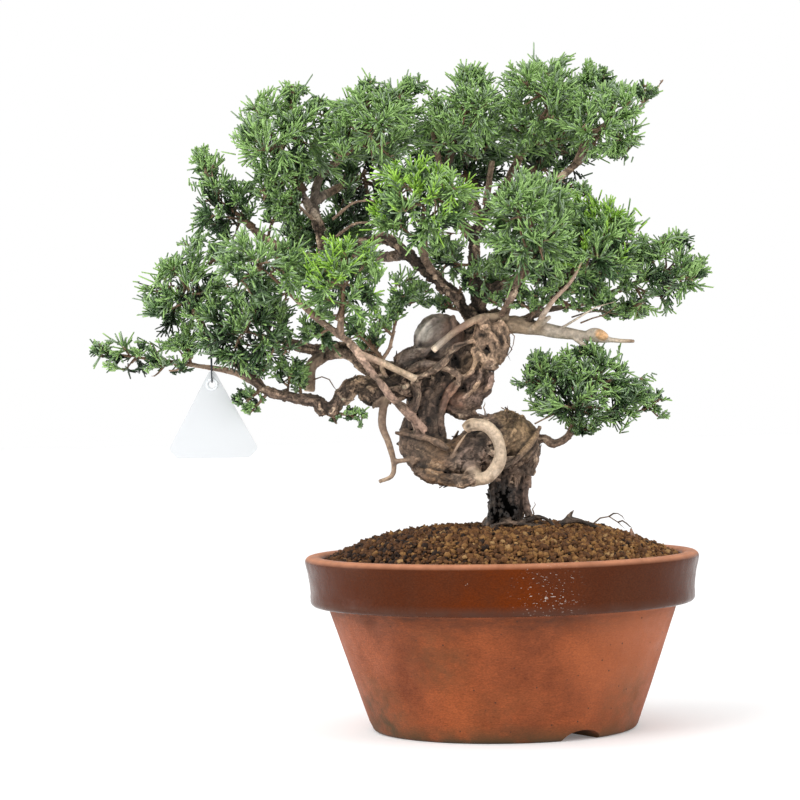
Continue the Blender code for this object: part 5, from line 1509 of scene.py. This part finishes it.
leafPieces = {
    "leavesLeft": ["finger_mass", "far_left_mass", "low_left_mass", "left_shoot_mass"],
    "leavesUpperLeft": ["upper_left_mass", "top_left_mass", "back_upper_left_mass"],
    "leavesTop": ["top_centre_mass", "apex_mass", "right_top_mass", "back_top_mass", "back_right_top_mass"],
    "leavesFront": ["front_left_mass", "centre_left_mass", "centre_mass", "centre_tuft"],
    "leavesRight": ["middle_mass", "right_pad_mass", "far_right_mass", "low_right_mass"],
    "leavesBack": ["back_left_mass", "back_right_mass"],
}

limbBalls = np.vstack([smoothLine(line, 2) for line in lines.values()])
livingLines = [line for name, line in lines.items() if name not in deadNames]
livingPlaces = np.vstack([smoothLine(line, 4)[:, :3] for line in livingLines])


def ownPlaces(k, places, edge, margin):
    depths = depthsAt(places)
    mine = depths[:, k]
    others = np.delete(depths, k, axis=1).min(axis=1)
    return (mine < edge) & (others > mine + margin)


def clearOfLimbs(places, room):
    away = np.linalg.norm(limbBalls[:, :3] - places[:, None], axis=2)
    return np.all(away > limbBalls[:, 3] + room, axis=1)


def reachOf(k, start, way, longest, skip):
    # how far a twig runs before it leaves the mass's space or meets a limb
    steps = np.arange(1, int(longest / 1.5) + 1) * 1.5
    places = start + way * steps[:, None]
    good = ownPlaces(k, places, 1, foliage["margin"])
    good &= (steps - 1.5 < skip) | clearOfLimbs(places, foliage["stemRadius"] + foliage["limbMargin"])
    stops = np.flatnonzero(~good)
    return 1.5 * (stops[0] if len(stops) else len(steps))


def bentTwig(start, leave, end, arrive, bend):
    # a line of five points that leaves and arrives along two directions
    length = np.linalg.norm(end - start)
    a, b = start + leave * length * bend, end - arrive * length * bend
    t = np.linspace(0, 1, 5)[:, None]
    return start * (1 - t) ** 3 + 3 * a * t * (1 - t) ** 2 + 3 * b * t**2 * (1 - t) + end * t**3


def sprigShape(draw):
    # threads of one sprig that stands on its root and points up the Z axis, straight and blunt
    length = draw.uniform(*foliage["sprigLength"])
    lean = draw.uniform(-0.16, 0.16, 2)
    first, last = foliage["threadRadius"]

    def axis(z):
        return np.array([lean[0] * z * z / length, lean[1] * z * z / length, z])

    def thread(start, end, radius):
        points.append([start, start + (end - start) * 0.93, end])
        radii.append([radius, radius * 0.88])

    points, radii = [], []
    for a, b, radius in ((0, 0.52, first), (0.5, 1, (first + last) / 2)):
        thread(axis(length * a), axis(length * b), radius)
    z = length * 0.1
    side = 1
    turn = draw.uniform(0, 2 * np.pi)
    while z < length * 0.85:
        spin = turn + (0 if side > 0 else np.pi) + draw.normal() * 0.45
        angle = math.radians(foliage["shootAngle"] + draw.normal() * 7)
        out = math.sin(angle)
        way = np.array([math.cos(spin) * out, math.sin(spin) * out, math.cos(angle)])
        size = foliage["shootLength"] * (1 - 0.5 * z / length) * draw.uniform(0.7, 1.15)
        thread(axis(z), axis(z) + way * size, (first + last) / 2)
        if size > 5.5 and draw.random() < foliage["forked"]:
            middle = axis(z) + way * size * draw.uniform(0.3, 0.55)
            forkWay = unit(way + unit(np.cross(way, draw.normal(size=3))) * 0.62)
            thread(middle, middle + forkWay * draw.uniform(*foliage["forkLength"]), last)
        z += foliage["shootStep"] * draw.uniform(0.8, 1.2)
        side = -side
    return np.array(points), np.array(radii)


def spinMatrices(ways, turns):
    # rotations that carry the Z axis to each way, after a turn about it
    helper = np.where(np.abs(ways[:, 2:3]) < 0.9, np.array([0.0, 0.0, 1.0]), np.array([1.0, 0.0, 0.0]))
    across = unit(np.cross(helper, ways))
    beside = np.cross(ways, across)
    x = across * np.cos(turns)[:, None] + beside * np.sin(turns)[:, None]
    y = np.cross(ways, x)
    return np.stack([x, y, ways], axis=2)


def twigKnots(twigs):
    # places along the twigs where finer ones may start, with the way and the radius there
    fine = [smoothLine(line, 3) for line, _, _ in twigs]
    heads = [unit(np.gradient(line, axis=0)) for line in fine]
    sizes = [np.linspace(first, last, len(line)) for line, (_, first, last) in zip(fine, twigs)]
    return np.vstack(fine), np.vstack(heads), np.concatenate(sizes)


def nearestKnot(knots, target):
    # the knot that a twig to the target leaves with the least bend and length
    places, heads, sizes = knots
    gap = target - places
    away = np.linalg.norm(gap, axis=1)
    ahead = np.sum(unit(gap) * heads, axis=1)
    best = int(np.argmin(away * (1.25 - 0.5 * ahead) * (1 + 0.25 * np.sin(37.0 * away))))
    way = unit(gap[best])
    return best, way, away[best], unit(heads[best] + way), sizes[best]


def shellPlaces(centre, half, depth, gap, draw, notch=0.0):
    # places spread evenly over a shell, with gaps between its tufts
    mean = (half[0] * half[1] * half[2]) ** (1 / 3) * depth
    count = int(4 * math.pi * mean**2 / gap**2)
    rises = 1 - 2 * (np.arange(count) + 0.5) / count
    spins = draw.uniform(0, 2 * np.pi) + math.radians(foliage["goldenAngle"]) * np.arange(count)
    levels = np.sqrt(1 - rises**2)
    ball = np.column_stack([levels * np.cos(spins), levels * np.sin(spins), rises])
    ball += draw.normal(size=ball.shape) * 0.07
    ball = ball[(rises > -0.8) | (draw.random(count) < 0.6)]
    places = centre + ball * half * depth
    tufts = np.array([noise.noise(Vector(place) / foliage["tuft"]) for place in places])
    shrink = 1 - notch * np.clip(0.2 - tufts, 0, 0.8)
    return centre + (places - centre) * (shrink * draw.uniform(0.92, 1.03, len(ball)))[:, None]


def growSprigs(centre, half, twigs, wanted, draw):
    # finer twigs on the given ones, and sprigs at their ends, with their tips at the wanted places
    knots = twigKnots(twigs)
    share, most, end = foliage["branchletThick"]
    branchDepth, branchGap = foliage["branchlets"]
    for target in wanted(shellPlaces(centre, half, branchDepth, branchGap, draw)):
        best, way, away, leave, size = nearestKnot(knots, target)
        if away > 6:
            arrive = unit(way + (target - centre) / half * 0.4 + draw.normal(size=3) * 0.2)
            twig = bentTwig(knots[0][best], leave, target, arrive, 0.35)
            twigs.append((twig, min(size * share, most), end))
    knots = twigKnots(twigs)
    share, most, end = foliage["sprigTwigThick"]
    small = min(1, np.prod(half) ** (1 / 3) / 21)
    sprigs = []
    gapShare = 0.3 + 0.7 * small
    shells = [shellPlaces(centre, half, depth, gap * gapShare, draw, foliage["notch"] * small)
              for depth, gap in foliage["shells"]]
    for target in wanted(np.vstack(shells)):
        best, way, away, leave, size = nearestKnot(knots, target)
        out = unit((target - centre) / half)
        level = out * np.array((1, 1, 0.6 if out[2] > 0 else 0.25))
        facing = 0.5 * way + 0.6 * level + np.array((0, 0, foliage["lift"])) + draw.normal(size=3) * 0.2
        facing = unit(facing * (1, 0.5, 1))
        length = draw.uniform(*foliage["sprigLength"]) * small
        foot = target - facing * length
        if away < length + 3:
            foot = knots[0][best] + way * min(2, away * 0.3)
            facing = unit(target - foot + np.array((0, 0, 3)))
        twig = bentTwig(knots[0][best], leave, foot + facing * 2, facing, 0.3)
        twigs.append((twig, min(size * share, most), end))
        depth = math.sqrt(np.sum(((target - centre) / half) ** 2))
        tint = draw.normal() * 0.45
        for j in range(draw.integers(*foliage["sprigsInTuft"])):
            ownWay = unit(facing + draw.normal(size=3) * (foliage["fan"] if j else 0))
            ownFoot = foot + facing * length * (0.12 * j - 0.1)
            sprigs.append((ownFoot, ownWay, length * draw.uniform(0.75, 1.05), out, depth, tint))
    return twigs, sprigs


def growClump(centre, half, near, draw):
    # a clump that a short twig joins to the nearest of the given places
    centre, half = np.array(centre, float), np.array(half, float)
    start = near[int(np.argmin(np.linalg.norm(near - centre - (0, 0, -8), axis=1)))]
    way = unit(centre - start)
    twig = bentTwig(start, unit(way + draw.normal(size=3) * 0.3), centre + way * 4, way, 0.3)
    return growSprigs(centre, half, [(twig, 1.3, 0.8)], lambda places: places, draw)


def growMass(k, draw):
    # the mass's twigs, and where its sprigs stand
    name = massNames[k]
    centre, half = massCentres[k], massHalves[k]
    carrier = next(b for b, spec in boughs.items() if spec.get("carries") == name)
    bough = lines[carrier]
    tangent = unit(bough[-1, :3] - bough[-2, :3])
    foot = bough[-1, :3] + tangent * growth["gap"]
    turn = foot + tangent * foliage["stemFoot"]
    run = unit(centre - turn)
    longest = foliage["stemLongest"] * math.dist(centre, turn)
    length = reachOf(k, turn, run, longest, foliage["stemFoot"]) * foliage["stemShare"]
    radius = bough[-1, 3]
    thick = max(foliage["stemRadius"], radius * foliage["stemThick"])
    end = turn + run * length
    twigs = [(bentTwig(foot - tangent * 2, tangent, end, run, 0.33), radius, foliage["tipRadius"] * 0.8)]
    count = masses[name][2]
    start = random.Random(f"{name} 0").uniform(0, 2 * math.pi)
    for j in range(count):
        rise = 1 - 2 * (j + 0.5) / count
        spin = start + math.radians(foliage["goldenAngle"]) * j
        level = math.sqrt(1 - rise**2)
        target = centre + half * (level * math.cos(spin), level * math.sin(spin), rise)
        along = float(np.dot(target - turn, run)) / max(length, 1) - foliage["lead"]
        root = turn + run * length * min(1 - foliage["stemEnds"], max(foliage["stemEnds"], along))
        way = unit(target - root)
        if float(np.dot(way, run)) > foliage["backward"]:
            room = reachOf(k, root, way, foliage["twigLongest"], foliage["twigFoot"])
            if room > foliage["twigShortest"]:
                tip = root + way * room * 0.8
                twig = bentTwig(root, unit(run + way), tip, unit(way + (0, 0, 0.25)), 0.3)
                twigs.append((twig, thick * 0.62, 0.6))

    def wanted(places):
        return places[ownPlaces(k, places, foliage["edge"], -0.02)]

    return growSprigs(centre, half, twigs, wanted, draw)


def grownLook(name, colour, roughness, grain, bump):
    # a plain colour with a fine grain and bump: their noise and range, depth and strength
    look, shader = newLook(name, Roughness=roughness, Specular_IOR_Level=0.5)
    share = cloud(look, (*grain[:2],), 0.3, 0.7, *grain[2:])
    tone = addNode(look, "RGB")
    tone.outputs[0].default_value = (*colour, 1)
    setColour(look, shader, scaledBy(look, tone.outputs[0], share))
    setBump(look, shader, noiseOf(look, *bump[:2]), *bump[2:])
    return look


def makeFoliage():
    draw = np.random.default_rng(foliage["seed"])
    shapes = [sprigShape(draw) for _ in range(foliage["sprigs"])]
    looks = [grownLook(f"green{k}", colour, 0.34, (260, 3, 0.72, 1.25), (1800, 2, 0.15, 0.6))
             for k, colour in enumerate(greens)]
    full, shade = foliage["sprigSize"], foliage["shade"]
    twigPoints, twigRadii = [], []
    total = 0
    for pieceName, members in leafPieces.items():
        points, radii, kinds, stems, roots = [], [], [], [], []
        grown = [(growMass(massNames.index(name), draw), masses[name][3]) for name in members]
        near = np.vstack([livingPlaces] + [line for (twigs, _), _ in grown for line, _, _ in twigs])
        grown += [(growClump(place, half, near, draw), clumpLight) for place, half in clumps[pieceName]]
        for (twigs, sprigs), lightness in grown:
            for line, first, last in twigs:
                if first > 1.35 or not inOpening(line[None, 2:])[0]:
                    twigPoints.append(line)
                    twigRadii.append(np.linspace(first, last, 4))
            feet, ways, lengths, outs, depths, tints = (np.array(column) for column in zip(*sprigs))
            count = len(sprigs)
            spins = spinMatrices(ways, draw.uniform(0, 2 * np.pi, count))
            scales = lengths / full
            which = draw.integers(0, len(shapes), count)
            # painted shade deep in a mass, painted light on upward sides and painted shade on back sides,
            # over the mass's own lightness
            light = lightness + shade["depth"] * (depths - shade["at"])
            light += shade["up"] * outs[:, 2] - shade["back"] * outs[:, 1] + tints
            light += draw.normal(size=count) * 0.2
            for s in range(len(shapes)):
                mine = np.flatnonzero(which == s)
                if not len(mine):
                    continue
                shape, thin = shapes[s]
                placed = np.einsum("nij,tpj->ntpi", spins[mine], shape) * scales[mine][:, None, None, None]
                placed = placed + feet[mine][:, None, None]
                placed += draw.normal(size=placed.shape) * np.array([0, 0.15, 0.2])[:, None]
                tone = light[mine][:, None] + shape[:, -1, 2][None] / full * 0.9 - 0.2
                tone = tone + draw.normal(size=tone.shape) * 0.17
                fresh = 0.75 < lightness < 1     # the masses at the front carry the new growth
                kind = np.clip(np.round(1.7 + 1.4 * tone), 0, 3).astype(int) + (fresh & (tone > 1.6))
                # some threads painted pale as highlights
                highlightShare = foliage["paintedHighlights"][0 if fresh else 1]
                paintedHighlights = (draw.random(tone.shape) < highlightShare) & (kind > 1)
                kind = np.where(paintedHighlights, 5, kind)
                points.append(placed.reshape(-1, 3, 3))
                stems.append(np.tile(np.arange(len(shape)) < 2, len(mine)))
                roots.append(np.repeat(feet[mine], len(shape), axis=0))
                radii.append(np.tile(thin, (len(mine), 1, 1)).reshape(-1, 2))
                kinds.append(kind.ravel())
        points, radii, kinds = np.vstack(points), np.vstack(radii), np.concatenate(kinds)
        keep = clearOfLeaves(points, np.concatenate(stems), np.vstack(roots))
        points, radii, kinds = points[keep], radii[keep], kinds[keep]
        verts, faces, each = growTubes(points, radii, 3, 3)
        mesh = meshOf(pieceName, verts, faces, np.repeat(kinds, each))
        addPiece(mesh, looks, members)
        total += len(faces)
        print(pieceName, "threads", len(points), "triangles", len(faces))
    for line in strayTwigs:
        twigPoints.append(np.array(line, float))
        twigRadii.append(np.linspace(*foliage["strayRadius"], 4))
    twigPoints, twigRadii = np.array(twigPoints), np.array(twigRadii)
    verts, faces, each = growTubes(twigPoints, twigRadii, 4, 4)
    twigLooks = [grownLook(f"twigBark{k}", tone, 0.8, (350, 4, 0.6, 1.35), (700, 4, 0.3, 0.8))
                 for k, tone in enumerate(foliage["twigTones"])]
    kinds = np.repeat(draw.choice(3, size=len(twigPoints), p=foliage["twigShares"]), each)
    addPiece(meshOf("twigs", verts, faces, kinds), twigLooks, massNames)
    print("twigs", len(twigPoints), "triangles", len(faces), "leaf triangles", total)


def inOpening(points):
    # which threads stand in an opening, as the camera sees them
    away = -view["place"][1]
    near = away / (away + points[:, :, 1])
    x = view["place"][0] + (points[:, :, 0] - view["place"][0]) * near
    z = view["place"][2] + (points[:, :, 2] - view["place"][2]) * near
    hidden = np.zeros(len(points), bool)
    rough = 1 + 0.5 * barkNoise(points[:, -1] / 5)[:, None]
    for openX, openZ, halfX, halfZ in openings:
        hidden |= (((x - openX) / halfX) ** 2 + ((z - openZ) / halfZ) ** 2 < rough)[:, 1:].any(axis=1)
    return hidden


def clearOfLeaves(points, stem, roots):
    # threads in a limb, in an opening or past the outline of the masses and clumps are left out
    small = [clump for group in clumps.values() for clump in group]
    centres = np.vstack([massCentres, [place for place, _ in small]])
    halves = np.vstack([massHalves, [half for _, half in small]])
    far, variation, size = foliage["outline"]
    limits = far + variation * barkNoise(roots / size)

    def depthOf(places):
        return np.sqrt((((places[:, None] - centres) / halves) ** 2).sum(axis=2)).min(axis=1)

    tested = np.where(stem[:, None, None], points[:, :1], points)
    keep = (depthOf(points[:, 0]) < limits - 0.08) & (stem | (depthOf(points[:, -1]) < limits))
    keep &= ~inOpening(tested)
    tree = treeOf(limbBalls)
    for k in np.flatnonzero(keep):
        for place in (points[k, -1], points[k, 1]):
            _, j, away = tree.find(place)
            if away < limbBalls[j, 3] + foliage["clearLimb"]:
                keep[k] = False
    return keep


makeFoliage()
print("foliage grown")


# Label: a bare white card that hangs from a wire loop

tag = {
    "place": (-196, -8, 248),   # its top
    "height": 59,
    "width": 61,
    "thick": 0.8,
    "edge": 0.12,               # how far its edges are eased
    "apexWidth": 5,
    "chamfer": 6,
    "corner": 1.6,
    "holeDrop": 9,
    "holeRadius": 2.4,
    "eyelet": (3.5, 1.0),       # radius of the clear ring round the hole, and of its bead
    "wire": 0.5,
    "slack": 1.07,
}


def roundedOutline(corners, radius, steps):
    outline = []
    count = len(corners)
    for k in range(count):
        before, here, after = (np.array(corners[(k + j) % count], float) for j in (-1, 0, 1))
        back, on = before - here, after - here
        room = min(radius, np.linalg.norm(back) * 0.45, np.linalg.norm(on) * 0.45)
        a, b = here + unit(back) * room, here + unit(on) * room
        for t in np.linspace(0, 1, steps + 1):
            outline.append(tuple(a * (1 - t) ** 2 + 2 * here * t * (1 - t) + b * t**2))
    return outline


def makeTag():
    x, y, top = tag["place"]
    half, bottom, apex = tag["width"] / 2, top - tag["height"], tag["apexWidth"] / 2
    right = [(apex / 2, top), (apex, top - apex / 2)]
    right += [(half, bottom + tag["chamfer"]), (half - tag["chamfer"], bottom)]
    corners = [*right, *[(-a, b) for a, b in reversed(right)]]
    outline = roundedOutline(corners, tag["corner"], 4)
    turns = [2 * math.pi * k / 40 for k in range(40)]
    hub = top - tag["holeDrop"]
    hole = [(tag["holeRadius"] * math.cos(a), hub + tag["holeRadius"] * math.sin(a)) for a in turns]
    curve = bpy.data.curves.new("card", "CURVE")
    curve.dimensions = "2D"
    curve.fill_mode = "BOTH"
    curve.extrude = (tag["thick"] / 2 - tag["edge"]) * mm
    curve.bevel_depth = tag["edge"] * mm
    curve.bevel_resolution = 2
    for ring in (outline, hole):
        spline = curve.splines.new("POLY")
        spline.points.add(len(ring) - 1)
        for point, (a, b) in zip(spline.points, ring):
            point.co = (a * mm, b * mm, 0, 1)
        spline.use_cyclic_u = True
    card = inScene("tagCard", curve)
    bpy.context.view_layer.update()
    mesh = bpy.data.meshes.new_from_object(card.evaluated_get(bpy.context.evaluated_depsgraph_get()))
    mesh.name = "tagCard"
    bpy.data.objects.remove(card)
    mesh.transform(Matrix.Translation((x * mm, y * mm, 0)) @ Matrix.Rotation(math.pi / 2, 4, "X"))
    mesh.materials.clear()
    look, shader = newLook("tagPlastic", Roughness=0.35, Base_Color=(0.66, 0.68, 0.70))
    setRoughness(look, shader, cloud(look, (90,), 0.3, 0.7, 0.28, 0.42))
    setBump(look, shader, noiseOf(look, 260), 0.05, 0.4)
    addPiece(mesh, [look], ["tag"], smooth=False)
    out, bead = tag["eyelet"]
    ring = [(x + out * math.cos(a), y, hub + out * math.sin(a), bead) for a in (*turns, 2 * math.pi)]
    verts, faces = sweep(np.array(ring), 10)
    look, _ = newLook("grommetClear", Roughness=0.12, Base_Color=(0.80, 0.83, 0.86), Coat_Weight=0.6)
    addPiece(meshOf("tagGrommet", verts, faces), [look])
    bough = lines["far_left_bough"]
    order = np.argsort(bough[:, 0])
    bx, by, bz, br = bough[order].T
    slope = float(np.interp(x, bx[1:], np.abs(np.diff(bz) / np.diff(bx))))
    by, bz, br = (float(np.interp(x, bx, value)) for value in (by, bz, br))
    clear = growth["gap"] + tag["wire"]
    wide = (br + clear) * tag["slack"]
    tall = (br * math.hypot(1, slope) + clear + tag["wire"] * slope) * tag["slack"]
    low = tag["thick"] / 2 + clear
    base = hub + tag["holeRadius"] - clear
    turns = [math.pi * k / 12 for k in range(13)]
    loop = [(x, by + wide * math.cos(a), bz + tall * math.sin(a), tag["wire"]) for a in turns]
    loop += [(x, y - low * math.cos(a), base + low * (1 - math.sin(a)), tag["wire"]) for a in turns]
    verts, faces = sweep(smoothLine([*loop, loop[0]], 1.5), 8)
    look, _ = newLook("tieWire", Roughness=0.4, Base_Color=(0.03, 0.035, 0.045), Metallic=0.5)
    addPiece(meshOf("tagWire", verts, faces), [look], ["tag_tie"])


makeTag()
print("label made")
